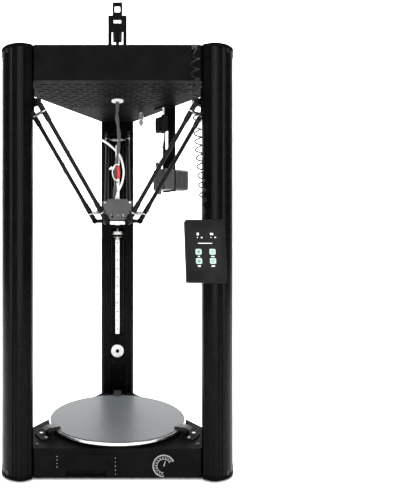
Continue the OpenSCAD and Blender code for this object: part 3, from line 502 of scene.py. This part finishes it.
def clip_grey():
    return coated(
        "clip_grey", grey(0.008), grey(0.014),
        rough=0.4, grain=2200, depth=0.02, edge_highlight_and_wear_colour=grey(0.06), Specular_IOR_Level=0.12,
    )


def rubber_black():
    return coated(
        "rubber_black", grey(0.006), grey(0.01),
        rough=0.78, grain=1700, depth=0.05, edge_highlight_and_wear_colour=grey(0.02), Specular_IOR_Level=0.1,
    )


def motor_black():
    return coated(
        "motor_black", grey(0.014), grey(0.022),
        rough=0.38, grain=1200, depth=0.015, edge_highlight_and_wear_colour=grey(0.09), Specular_IOR_Level=0.25,
    )


def rail_steel():
    return brushed("rail_steel", grey(0.78), grey(0.95), rough=0.26, metal=0.2)


def pulley_metal():
    return brushed("pulley_metal", grey(0.4), grey(0.66), rough=0.3, along=(1, 1, 1))


def screw_steel():
    return brushed("screw_steel", grey(0.34), grey(0.6), rough=0.3, along=(1, 1, 1))


def bed_aluminium():
    return brushed("bed_aluminium", grey(0.48), grey(0.74), rough=0.27, along=(0.2, 0.2, 4))


def psu_steel():
    """Zinc-coated sheet with its spangle."""
    f = Finish("psu_steel", Metallic=1.0)
    spangle = f.cells(160)
    colour = f.colours(spangle, (0.1, grey(0.36)), (0.6, grey(0.56)))
    return f.done(colour, f.between(spangle, 0.3, 0.5))


def brass():
    return brushed("brass", (0.55, 0.36, 0.12), (0.78, 0.56, 0.24), rough=0.28, along=(1, 1, 1))


def by_height(name, low, high, plain, other):
    """Bare metal between two heights above the floor, in metres, and a dull colour elsewhere."""
    f = Finish(name, Specular_IOR_Level=0.2)
    parts = f.add("ShaderNodeSeparateXYZ")
    f.link(f.place, parts.inputs[0])
    z = parts.outputs["Z"]
    inside = f.maths("MULTIPLY", f.maths("GREATER_THAN", z, low), f.maths("LESS_THAN", z, high))
    f.edges(0.2)
    grain = f.noise(900, 3)
    f.bump(grain, 0.01)
    shade = f.colours(grain, (0.3, tuple(c * 0.7 for c in other)), (0.7, other))
    bare = f.colours(grain, (0.3, tuple(c * 0.8 for c in plain)), (0.7, plain))
    return f.done(f.mix(inside, shade, bare), f.between(grain, 0.28, 0.42), inside)


# The fittings of the top box lie between these heights above the floor, in metres
ROOF_LOW, ROOF_HIGH = 0.65, 0.75
# Shares of that height where the coupler's metal gives way to the bush, and the bush to the gland
BUSH_FROM, GLAND_FROM = 0.27, 0.51


def roof_fittings():
    """Metal coupler, white bush and black gland, told apart by their heights."""
    step = 0.01
    f = Finish("roof_fittings", Specular_IOR_Level=0.3)
    parts = f.add("ShaderNodeSeparateXYZ")
    f.link(f.place, parts.inputs[0])
    rise = f.between(parts.outputs["Z"], 0, 1, ROOF_LOW, ROOF_HIGH)
    f.edges(0.2)
    grain = f.noise(900, 3)
    f.bump(grain, 0.01)
    tone = f.colours(
        rise, (BUSH_FROM - step, grey(0.5)), (BUSH_FROM, grey(0.72)), (GLAND_FROM - step, grey(0.72)),
        (GLAND_FROM, grey(0.008)),
    )
    metal = f.colours(rise, (BUSH_FROM - step, grey(1)), (BUSH_FROM, grey(0)))
    return f.done(tone, f.between(grain, 0.22, 0.4), metal)


def drive_grey():
    return coated(
        "drive_grey", grey(0.03), grey(0.045),
        rough=0.42, grain=2200, depth=0.02, edge_highlight_and_wear_colour=grey(0.12), Specular_IOR_Level=0.25,
    )


def hot_metal():
    """Metal of the hot end, with scorched stains."""
    f = Finish("hot_metal", Metallic=1.0)
    f.edges(0.2)
    stain = f.noise(180, 5)
    burnt, tinged = (0.34, 0.3, 0.26), (0.66, 0.62, 0.56)
    scorched = f.colours(stain, (0.3, burnt), (0.55, grey(0.6)), (0.75, tinged))
    return f.done(scorched, f.between(stain, 0.26, 0.42, 0.3, 0.7))


def bed_coating():
    """Dark textured glass under a fine diagonal lattice."""
    f = Finish("bed_coating", Specular_IOR_Level=0.1, Coat_Weight=0.04, Coat_Roughness=0.2)
    lines = []
    for turn in (0.25, -0.25):
        place = f.stretched(1, 1, 1, (0, 0, turn * math.pi))
        lines.append(f.wave(95, place))
    grid = f.maths("MAXIMUM", *lines)
    web = f.between(grid, 0, 1, 0.86, 0.97)
    speck = f.noise(3200, 2)
    ground = f.colours(speck, (0.35, (0.02, 0.023, 0.025)), (0.7, (0.038, 0.042, 0.044)))
    f.bump(f.maths("ADD", web, f.maths("MULTIPLY", speck, 0.4)), 0.03)
    return f.done(f.mix(web, ground, (0.085, 0.092, 0.096)), f.between(speck, 0.3, 0.5))


def white_plastic():
    f = Finish(
        "white_plastic", Specular_IOR_Level=0.5, Subsurface_Weight=0.05,
        Subsurface_Radius=grey(0.001),
    )
    f.edges(0.3)
    broad = f.noise(140, 4)
    f.bump(f.noise(2200, 2), 0.01)
    colour = f.colours(broad, (0.3, (0.6, 0.6, 0.58)), (0.7, (0.72, 0.72, 0.7)))
    return f.done(colour, f.between(broad, 0.3, 0.44, 0.3, 0.7))


def board_green():
    """Circuit board: solder mask over copper lanes."""
    f = Finish("board_green", Specular_IOR_Level=0.6)
    lanes = f.cells(420)
    lane = f.between(lanes, 1, 0, 0.05, 0.16)
    mask = f.mix(lane, (0.006, 0.07, 0.03), (0.02, 0.16, 0.07))
    f.bump(lane, 0.03)
    return f.done(mask, f.between(f.noise(200, 3), 0.28, 0.42))


def switch_red():
    return coated(
        "switch_red", (0.42, 0.012, 0.01), (0.55, 0.02, 0.015),
        rough=0.34, grain=2400, depth=0.01, edge_highlight_and_wear_colour=(0.7, 0.1, 0.08),
    )


def display_black():
    """Glossy front glass with faint smears."""
    f = Finish("display_black", Specular_IOR_Level=0.04, Coat_Weight=0.03, Coat_Roughness=0.04)
    smear = f.noise(55, 6, f.stretched(1, 1, 0.4))
    colour = f.colours(smear, (0.3, grey(0.0006)), (0.7, grey(0.0014)))
    return f.done(colour, f.between(smear, 0.12, 0.24, 0.35, 0.7))


def carbon_black():
    """Twill of flat tows under clear resin."""
    f = Finish("carbon_black", Specular_IOR_Level=0.06, Coat_Weight=0.02, Coat_Roughness=0.2)
    tows = []
    for turn in (0.25, -0.25):
        place = f.stretched(1, 1, 1, (turn * math.pi, turn * math.pi, 0))
        tows.append(f.wave(330, place))
    check = f.maths("GREATER_THAN", tows[0], tows[1])
    sheen = f.mix(check, (0.002, 0.002, 0.0022), (0.008, 0.008, 0.0085))
    f.bump(f.maths("MAXIMUM", *tows), 0.03)
    return f.done(sheen, f.between(check, 0.3, 0.46))


def ptfe():
    """Milky white tube."""
    f = Finish("ptfe", Subsurface_Weight=0.25, Subsurface_Radius=grey(0.002), Specular_IOR_Level=0.5)
    cloud = f.noise(220, 4)
    colour = f.colours(cloud, (0.3, (0.66, 0.67, 0.66)), (0.7, (0.82, 0.82, 0.8)))
    return f.done(colour, f.between(cloud, 0.24, 0.36, 0.3, 0.7))


def braid():
    """Woven sleeve: crossing strands of fine filament."""
    f = Finish("braid", Specular_IOR_Level=0.35, Sheen_Weight=0.3, Sheen_Roughness=0.5)
    strands = []
    for turn in (0.2, -0.2):
        place = f.stretched(1, 1, 1, (turn * math.pi, turn * math.pi, 0))
        strands.append(f.wave(420, place))
    cross = f.maths("MAXIMUM", *strands)
    f.bump(cross, 0.12)
    colour = f.colours(cross, (0.45, grey(0.012)), (0.95, grey(0.075)))
    return f.done(colour, f.between(cross, 0.75, 0.55))


def cord_black():
    return coated(
        "cord_black", grey(0.004), grey(0.007),
        rough=0.45, grain=2200, depth=0.015, edge_highlight_and_wear_colour=grey(0.012), Specular_IOR_Level=0.1,
    )


def make_materials():
    """Every slot's material by the slot's name."""
    makers = [
        powder_black, anodised_black, moulded_black, moulded_grey, rubber_black, rail_steel, pulley_metal,
        screw_steel, motor_black, bed_aluminium, bed_coating, hot_metal, white_plastic, board_green,
        psu_steel, brass, switch_red, display_black, carbon_black, clip_grey, ptfe, braid, cord_black,
    ]
    return {maker.__name__: maker() for maker in makers}


MATERIALS = make_materials()


# The screw heads on the clip bases lie between these heights above the floor, in metres
HEADS_LOW, HEADS_HIGH = 0.0565, 0.0605


def dress_nodes():
    """Gives each CAD node the finish of its own slot, and a few nodes one of their own."""
    for part in frame["record"]["subparts"]:
        node = NODES[part["node"]]
        node.data.materials.clear()
        node.data.materials.append(MATERIALS[part["material_slot"]])
    # Only the heads on the clip bases are bright
    heads = by_height("panel_screw_heads", HEADS_LOW, HEADS_HIGH, grey(0.55), grey(0.008))
    NODES["panel_screws"].data.materials[0] = heads
    # The filament drive and the head's cowl are paler than the other mouldings
    paler = drive_grey()
    for name in ("extruder_body", "extruder_lever", "hotend_shroud"):
        NODES[name].data.materials[0] = paler
    # The roof's fittings are one node of three materials
    NODES["top_fittings"].data.materials[0] = roof_fittings()


dress_nodes()
make_curly_cord()
make_bowden_tube()
make_loom()

# ---------------------------------------------------------------- printed marks, painted glints and small parts

# Lengths here are in millimetres, and places count from the machine axis unless they say otherwise
# The lit glass of the screen, its rise and its distance from the middle of the housing's back
GLASS_W, GLASS_H, GLASS_UP, GLASS_OUT = 51, 71, 2, 10.9
# Middle of the housing's back, and how far the screen leans back in degrees
SCREEN_AT = (144, -150.2, 389)
SCREEN_LEAN = 15
# Front faces of the base and of the drawer in it, across Y
BASE_FRONT, DRAWER_FRONT = -125, -126


def add_block(mesh, low, high, place, soft):
    """Block with rounded edges between two corners, put at a matrix."""
    earlier = set(mesh.verts)
    box = bmesh.ops.create_cube(mesh, size=1)["verts"]
    for vert in box:
        vert.co = Vector([low[i] + (high[i] - low[i]) * (vert.co[i] + 0.5) for i in range(3)])
    edges = [edge for edge in mesh.edges if edge.verts[0] not in earlier]
    bmesh.ops.bevel(mesh, geom=edges, offset=soft, segments=3, profile=0.5, affect="EDGES")
    for vert in mesh.verts:
        if vert not in earlier:
            vert.co = place @ vert.co


def add_patch(mesh, outline, place, low=0.0, high=0.12):
    """Thin printed patch: an outline of (x, y) points raised along Z, put at a matrix."""
    under = [mesh.verts.new(place @ Vector((x, y, low))) for x, y in outline]
    over = [mesh.verts.new(place @ Vector((x, y, high))) for x, y in outline]
    mesh.faces.new(over)
    mesh.faces.new(under[::-1])
    for i in range(len(outline)):
        n = (i + 1) % len(outline)
        mesh.faces.new((under[i], under[n], over[n], over[i]))


def round_outline(x, y, wide, high, r):
    """Rectangle with round corners about a middle."""
    steps = 5
    points = []
    for i, (sx, sy) in enumerate(((1, 1), (-1, 1), (-1, -1), (1, -1))):
        for k in range(steps + 1):
            t = math.pi / 2 * (i + k / steps)
            corner = (x + sx * (wide / 2 - r), y + sy * (high / 2 - r))
            points.append((corner[0] + r * math.cos(t), corner[1] + r * math.sin(t)))
    return points


def arc_outline(inner, outer, start, end, steps):
    """Band of a ring between two angles in degrees."""
    turns = [math.radians(start + (end - start) * i / steps) for i in range(steps + 1)]
    rim = [(outer * math.cos(t), outer * math.sin(t)) for t in turns]
    return rim + [(inner * math.cos(t), inner * math.sin(t)) for t in reversed(turns)]


# Turn that stands a flat shape up to face the front
UPRIGHT = Matrix.Rotation(math.radians(90), 4, "X")


def upright(point):
    """Matrix of a plate seen from the front: X right, Y up, Z towards the front."""
    return Matrix.Translation(point) @ UPRIGHT @ Matrix.Scale(MM, 4)


def pale_ink_and_glints():
    """Pale grey printing ink, also used for the painted glints beside the drawer."""
    f = Finish("pale_ink_and_glints", Specular_IOR_Level=0.3)
    speck = f.noise(1500, 3)
    return f.done(f.colours(speck, (0.3, grey(0.3)), (0.7, grey(0.46))), f.between(speck, 0.5, 0.7))


def make_dial():
    """Dial printed on the base: two arcs, ticks, strokes in place of figures, and a pointer."""
    start, sweep = 27, 241
    tick_count, tick_top, tick_half = 48, 18.5, 0.9
    figure_count, figure_start = 12, 37
    place = upright(mm(78.8, BASE_FRONT, 24.3))
    mesh = bmesh.new()
    for inner, outer in ((11.2, 11.7), (18.3, 18.9)):
        add_patch(mesh, arc_outline(inner, outer, start, start + sweep, 60), place)
    for i in range(tick_count + 1):
        turn = start + sweep * i / tick_count
        tall = 3.0 if i % 4 == 0 else 1.6
        tick = arc_outline(tick_top - tall, tick_top, turn - tick_half, turn + tick_half, 2)
        add_patch(mesh, tick, place)
    # Each stroke of a figure has an inner and an outer radius and half its width in degrees
    strokes = ((12.4, 13.0, 3.6), (14.2, 14.8, 3.6), (12.4, 14.8, 0.9))
    for i in range(figure_count):
        turn = figure_start + sweep * i / figure_count
        for k, (near, far, half) in enumerate(strokes):
            shift = (k - 1) * 1.1 if i % 2 else 0
            stroke = arc_outline(near, far, turn + shift - half, turn + shift + half, 3)
            add_patch(mesh, stroke, place, 0, 0.1)
    pointer = [(-0.5, -0.6), (0.7, -0.4), (3.0, 8.6), (2.5, 8.8)]
    add_patch(mesh, pointer, place, 0, 0.14)
    piece("dial_print", mesh, "powder_black", material=pale_ink_and_glints())


def make_painted_glints():
    """Small pale dots beside the drawer front: painted glints along the edges of its gap."""
    dome = [(0.62, -0.1), (0.6, 0.12), (0.35, 0.26), (0.05, 0.3)]
    # Each dot is a painted glint where the gap's edge catches the light
    mesh = bmesh.new()
    for x, low, high, count in ((-102.6, 23, 41, 4), (-3.4, 11, 38, 5)):
        for i in range(count):
            z = low + (high - low) * i / (count - 1)
            add_lathe(mesh, dome, upright(mm(x, DRAWER_FRONT, z)), 12)
    piece("drawer_painted_glints", mesh, "powder_black", "drawer", material=pale_ink_and_glints())


def lit(name, colour, strength):
    """Lit display elements with a faint dot grid."""
    f = Finish(name, Specular_IOR_Level=0.3)
    dots = f.wave(1400, f.stretched(1, 1, 1))
    shade = f.colours(dots, (0.0, tuple(c * 0.8 for c in colour)), (1.0, colour))
    f.link(shade, f.shader.inputs["Emission Color"])
    f.shader.inputs["Emission Strength"].default_value = strength
    return f.done(shade, f.between(dots, 0.3, 0.4))


def glass_place():
    """Matrix of the lit area: X across, Y up, Z out of the glass, from its middle."""
    lean = Matrix.Rotation(math.radians(-SCREEN_LEAN), 4, "X")
    front = Matrix.Translation(Vector((0, -GLASS_OUT, GLASS_UP)) * MM)
    return Matrix.Translation(mm(*SCREEN_AT)) @ lean @ front @ UPRIGHT @ Matrix.Scale(MM, 4)


def on_glass(u, v):
    """Place on the glass from shares of its width and height, from the top left corner."""
    return (u - 0.5) * GLASS_W, (0.5 - v) * GLASS_H


# Middles of the four buttons, as shares of the glass
BUTTONS = ((0.268, 0.561), (0.713, 0.561), (0.272, 0.778), (0.717, 0.778))
# Short marks and a rule: middle as shares of the glass, width and height in millimetres
MARKS = (
    (0.267, 0.139, 3.6, 4.6), (0.713, 0.139, 5.4, 3.6), (0.389, 0.221, 3.0, 2.0), (0.824, 0.221, 2.8, 2.0),
    (0.25, 0.221, 1.6, 1.4), (0.687, 0.221, 1.8, 1.2), (0.49, 0.36, 23.0, 1.2), (0.272, 0.668, 3.4, 1.4),
    (0.717, 0.672, 5.6, 1.4), (0.275, 0.897, 5.0, 1.9), (0.717, 0.897, 5.6, 1.9),
)
# Height of the lit patches over the glass, and of the dark signs on them
LIT_TOP, SIGN_TOP = 0.06, 0.09


def make_signs(mesh, place):
    """A plain sign on each button: sheet, cross, house and open ring."""
    sheet, cross, house, ring = (on_glass(*button) for button in BUTTONS)
    add_patch(mesh, round_outline(*sheet, 4.4, 5.2, 0.6), place, LIT_TOP, SIGN_TOP)
    x, y = cross
    for turn in (1, -1):
        ends = [(-2.9, -2.2), (-2.2, -2.9), (2.9, 2.2), (2.2, 2.9)]
        bar = [(x + a * turn, y + b) for a, b in ends][::turn]
        add_patch(mesh, bar, place, LIT_TOP, SIGN_TOP + 0.01 * turn)
    x, y = house
    walls = [(x - 3, y + 0.4), (x - 2, y - 2.8), (x + 2, y - 2.8), (x + 3, y + 0.4), (x, y + 3)]
    add_patch(mesh, walls, place, LIT_TOP, SIGN_TOP)
    x, y = ring
    open_ring = [(x + a, y + b) for a, b in arc_outline(1.5, 3.0, 0, 330, 24)]
    add_patch(mesh, open_ring, place, LIT_TOP, SIGN_TOP)


def make_display():
    """Plain menu: status marks, a rule and four round-cornered buttons with simple signs."""
    place = glass_place()
    pale, white, dark = bmesh.new(), bmesh.new(), bmesh.new()
    for u, v, wide, high in MARKS:
        x, y = on_glass(u, v)
        add_patch(white, round_outline(x, y, wide, high, min(wide, high) * 0.4), place, 0, LIT_TOP)
    for u, v in BUTTONS:
        x, y = on_glass(u, v)
        add_patch(pale, round_outline(x, y, 10.0, 9.8, 2.2), place, 0, LIT_TOP)
    make_signs(dark, place)
    teal = lit("lit_teal", (0.25, 0.33, 0.305), 0.45)
    piece("display_buttons", pale, "display_black", "screen", material=teal)
    near_white = lit("lit_white", (0.5, 0.56, 0.54), 0.5)
    piece("display_marks", white, "display_black", "screen", material=near_white)
    dim = lit("lit_dark", (0.11, 0.16, 0.15), 0.2)
    piece("display_signs", dark, "display_black", "screen", material=dim)


# Steps to a turn of a spring, and the shares of it that its hooks and its swelling ends take up
SPRING_STEPS = 9
HOOK_SHARE = 0.1
SWELL_RATE = 6


def add_coil(mesh, start, end, r, wire, turns, place):
    """Tension spring with straight hooks at both ends; wire is half its thickness."""
    start, end = Vector(start), Vector(end)
    along = (end - start).normalized()
    side = along.orthogonal().normalized()
    across = along.cross(side)
    hook = (end - start).length * HOOK_SHARE
    steps = turns * SPRING_STEPS
    line = [start, start + along * hook * 0.5]
    for i in range(steps + 1):
        t = i / steps
        swell = r * min(1, SWELL_RATE * t, SWELL_RATE * (1 - t))
        turn = 2 * math.pi * turns * t
        point = start + along * (hook + ((end - start).length - 2 * hook) * t)
        line.append(point + swell * (math.cos(turn) * side + math.sin(turn) * across))
    line += [end - along * hook * 0.5, end]
    add_tube(mesh, [place @ point for point in line], wire * MM, 6)


# The rods of a pair in their tower's frame: half their distance apart, and where a spring crosses them,
# as distances outwards and heights
ROD_HALF = 22.8
SPRING_HALF = 18.4
SPRING_SPOTS = ((162.0, 634.0), (47.0, 459.3))
# What a rod covers outwards and upwards from end to end
ROD_RUN = (0, 134.9, 205)


def make_rod_springs():
    """Tension springs that pull the rods of each pair onto their balls, and the bands that hold them."""
    along = Vector(ROD_RUN).normalized()
    for name, bearing in TOWERS.items():
        place = facing(bearing)
        mesh = bmesh.new()
        for r, z in SPRING_SPOTS:
            add_coil(mesh, (-SPRING_HALF, r, z), (SPRING_HALF, r, z), 2.7, 0.62, 17, place)
            for s in (-1, 1):
                rod = Vector((s * ROD_HALF, r, z))
                band = [rod + along * h for h in (-0.9, -0.5, 0.5, 0.9)]
                add_tube(mesh, [place @ point for point in band], 5.35 * MM, 24)
        piece(f"rod_springs_{name}", mesh, "screw_steel", f"carriage_{name}")


def make_light_bar():
    """White insulating bar under the cowl, in front of the hot end, on two short legs."""
    mesh = bmesh.new()
    place = Matrix.Translation(AXIS) @ Matrix.Scale(MM, 4)
    half, leg_at, leg_half = 14, 9, 2
    add_block(mesh, (-half, -38.4, 437.2), (half, -35.2, 443.4), place, 0.9)
    for s in (-1, 1):
        middle_x = s * leg_at
        add_block(mesh, (middle_x - leg_half, -36, 438.5), (middle_x + leg_half, -30, 441.0), place, 0.5)
    piece("insulating_bar", mesh, "white_plastic", "effector")


# Routes beside the loom: its red sleeve, the loop of wire that the sleeve binds, and the plug's lead
SLEEVE_ROUTE = [(1.0, -9.6, 551), (1.9, -9.8, 545), (2.4, -9.8, 537), (1.6, -9.4, 526)]
LOOP_ROUTE = [
    (1.4, -9.6, 553), (-3, -9.8, 553.5), (-7, -10, 549), (-9.6, -10, 541), (-8.6, -10, 531),
    (-4.6, -9.8, 524.5), (1.2, -9.4, 523.2),
]
LEAD_ROUTE = [(-10.4, -10, 544.6), (-9, -10.2, 543.4), (-7.6, -10.2, 545.5), (-5.6, -10, 550.4)]
PLUG_AT = (-12.6, -10, 546.5)
PLUG_TURN = -42
# Corner of the plug from its middle
PLUG_HALF = (3.6, 2.4, 1.9)


def sleeve_radius(t):
    """Narrower at both ends, in metres."""
    return (2.9 if 0.08 < t < 0.92 else 2.2) * MM


def make_loom_plug():
    """Small plug and a loop of wire bound to the loom by a red sleeve."""
    sleeve, wires = bmesh.new(), bmesh.new()
    add_tube(sleeve, [mm(*p) for p in smooth(SLEEVE_ROUTE, 4)], sleeve_radius, 14)
    for shift in (-0.85, 0.85):
        line = [mm(x, y + shift, z) for x, y, z in smooth(LOOP_ROUTE, 6)]
        add_tube(wires, line, 0.95 * MM, 10)
    turn = Matrix.Rotation(math.radians(PLUG_TURN), 4, "Y")
    place = Matrix.Translation(mm(*PLUG_AT)) @ turn @ Matrix.Scale(MM, 4)
    add_block(wires, [-side for side in PLUG_HALF], PLUG_HALF, place, 0.6)
    add_tube(wires, [mm(*p) for p in smooth(LEAD_ROUTE, 5)], 1.2 * MM, 10)
    made = (("loom_red_sleeve", sleeve, "switch_red"), ("loom_wire_loop", wires, "white_plastic"))
    for name, mesh, slot in made:
        part = piece(name, mesh, slot, body=None)
        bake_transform(part)


# The filament drive hangs at this bearing. The guide tube's route is in that frame.
DRIVE_BEARING = 30
GUIDE_ROUTE = [
    (9, 102.5, 624.5), (9, 102.5, 621), (7, 102.6, 608), (-1, 103.2, 590), (-6.4, 103.9, 570),
    (-7.1, 104, 560), (-7.1, 104, 557),
]
# The stub runs from the underside of the top box to the top of the runout switch, which is in that frame
STUB_TOP = (93.2, 43.5, 679.5)
SWITCH_TOP = (9, 102.5, 662)


def make_guide_tubes():
    """Short lengths of tube from the top box to the runout switch and on to the filament drive."""
    side = facing(DRIVE_BEARING)
    low = [side @ Vector(p) for p in smooth(GUIDE_ROUTE, 5)]
    roof = mm(*STUB_TOP)
    switch = side @ Vector(SWITCH_TOP)
    high = smooth([roof, roof.lerp(switch, 0.3), roof.lerp(switch, 0.7), switch], 4)
    for name, line in (("guide_stub", high), ("guide_tube", low)):
        mesh = bmesh.new()
        add_tube(mesh, line, TUBE_D / 2 * MM, 14)
        piece(name, mesh, "ptfe")


make_dial()
make_painted_glints()
make_display()
make_rod_springs()
make_light_bar()
make_loom_plug()
make_guide_tubes()

# ---------------------------------------------------------------- stage and light


def make_stage():
    """Pale floor under the machine that runs up into a pale wall behind it."""
    mesh = bmesh.new()
    near, far, high, half = -3.0, 2.2, 3.0, 4.0
    bend, steps = 0.6, 16
    outline = [(near, 0.0), (far - bend, 0.0)]
    for i in range(1, steps):
        turn = math.pi / 2 * i / steps
        outline.append((far - bend + bend * math.sin(turn), bend - bend * math.cos(turn)))
    outline += [(far, bend), (far, high)]
    rows = [[mesh.verts.new((x, y, z)) for x in (-half, half)] for y, z in outline]
    for low, up in zip(rows, rows[1:]):
        mesh.faces.new((low[0], low[1], up[1], up[0]))
    data = bpy.data.meshes.new("floor")
    mesh.to_mesh(data)
    mesh.free()
    data.shade_smooth()
    floor = bpy.data.objects.new("floor", data)
    bpy.context.scene.collection.objects.link(floor)
    paper = Finish("paper")
    tone = paper.noise(6, 3)
    colour = paper.colours(tone, (0.3, grey(0.86)), (0.7, grey(0.9)))
    data.materials.append(paper.done(colour, paper.between(tone, 0.55, 0.7)))


def softbox(name, at, towards, wide, high, watts):
    """Rectangular lamp of a size in metres, turned towards a point."""
    data = bpy.data.lights.new(name, "AREA")
    data.shape = "RECTANGLE"
    data.size = wide
    data.size_y = high
    data.energy = watts
    lamp = bpy.data.objects.new(name, data)
    lamp.location = at
    lamp.rotation_euler = (Vector(towards) - Vector(at)).to_track_quat("-Z", "Y").to_euler()
    bpy.context.scene.collection.objects.link(lamp)


def make_light():
    """Soft studio: a dim room, two pairs of tall softboxes, and lamps that whiten the floor and wall."""
    world = bpy.data.worlds.new("studio")
    world.use_nodes = True
    back = world.node_tree.nodes["Background"]
    back.inputs["Color"].default_value = (1, 1, 1, 1)
    back.inputs["Strength"].default_value = 0.2
    bpy.context.scene.world = world
    # The lamps on the machine point at the middle of its build space
    heart = (0, AXIS.y, 0.4)
    for side, name in ((-1, "left"), (1, "right")):
        softbox(f"front_{name}", (side * 0.66, -1.78, 0.75), heart, wide=0.7, high=1.7, watts=26)
        softbox(f"side_{name}", (side * 1.7, -0.87, 0.75), heart, wide=0.2, high=1.7, watts=14)
    softbox("top", (0, -0.3, 2.4), heart, wide=2.4, high=1.8, watts=80)
    softbox("wash", (0, 0.7, 2.4), (0, 2.2, 0.7), wide=3.4, high=1.2, watts=190)


make_stage()
make_light()
bpy.context.scene.view_settings.view_transform = "Standard"
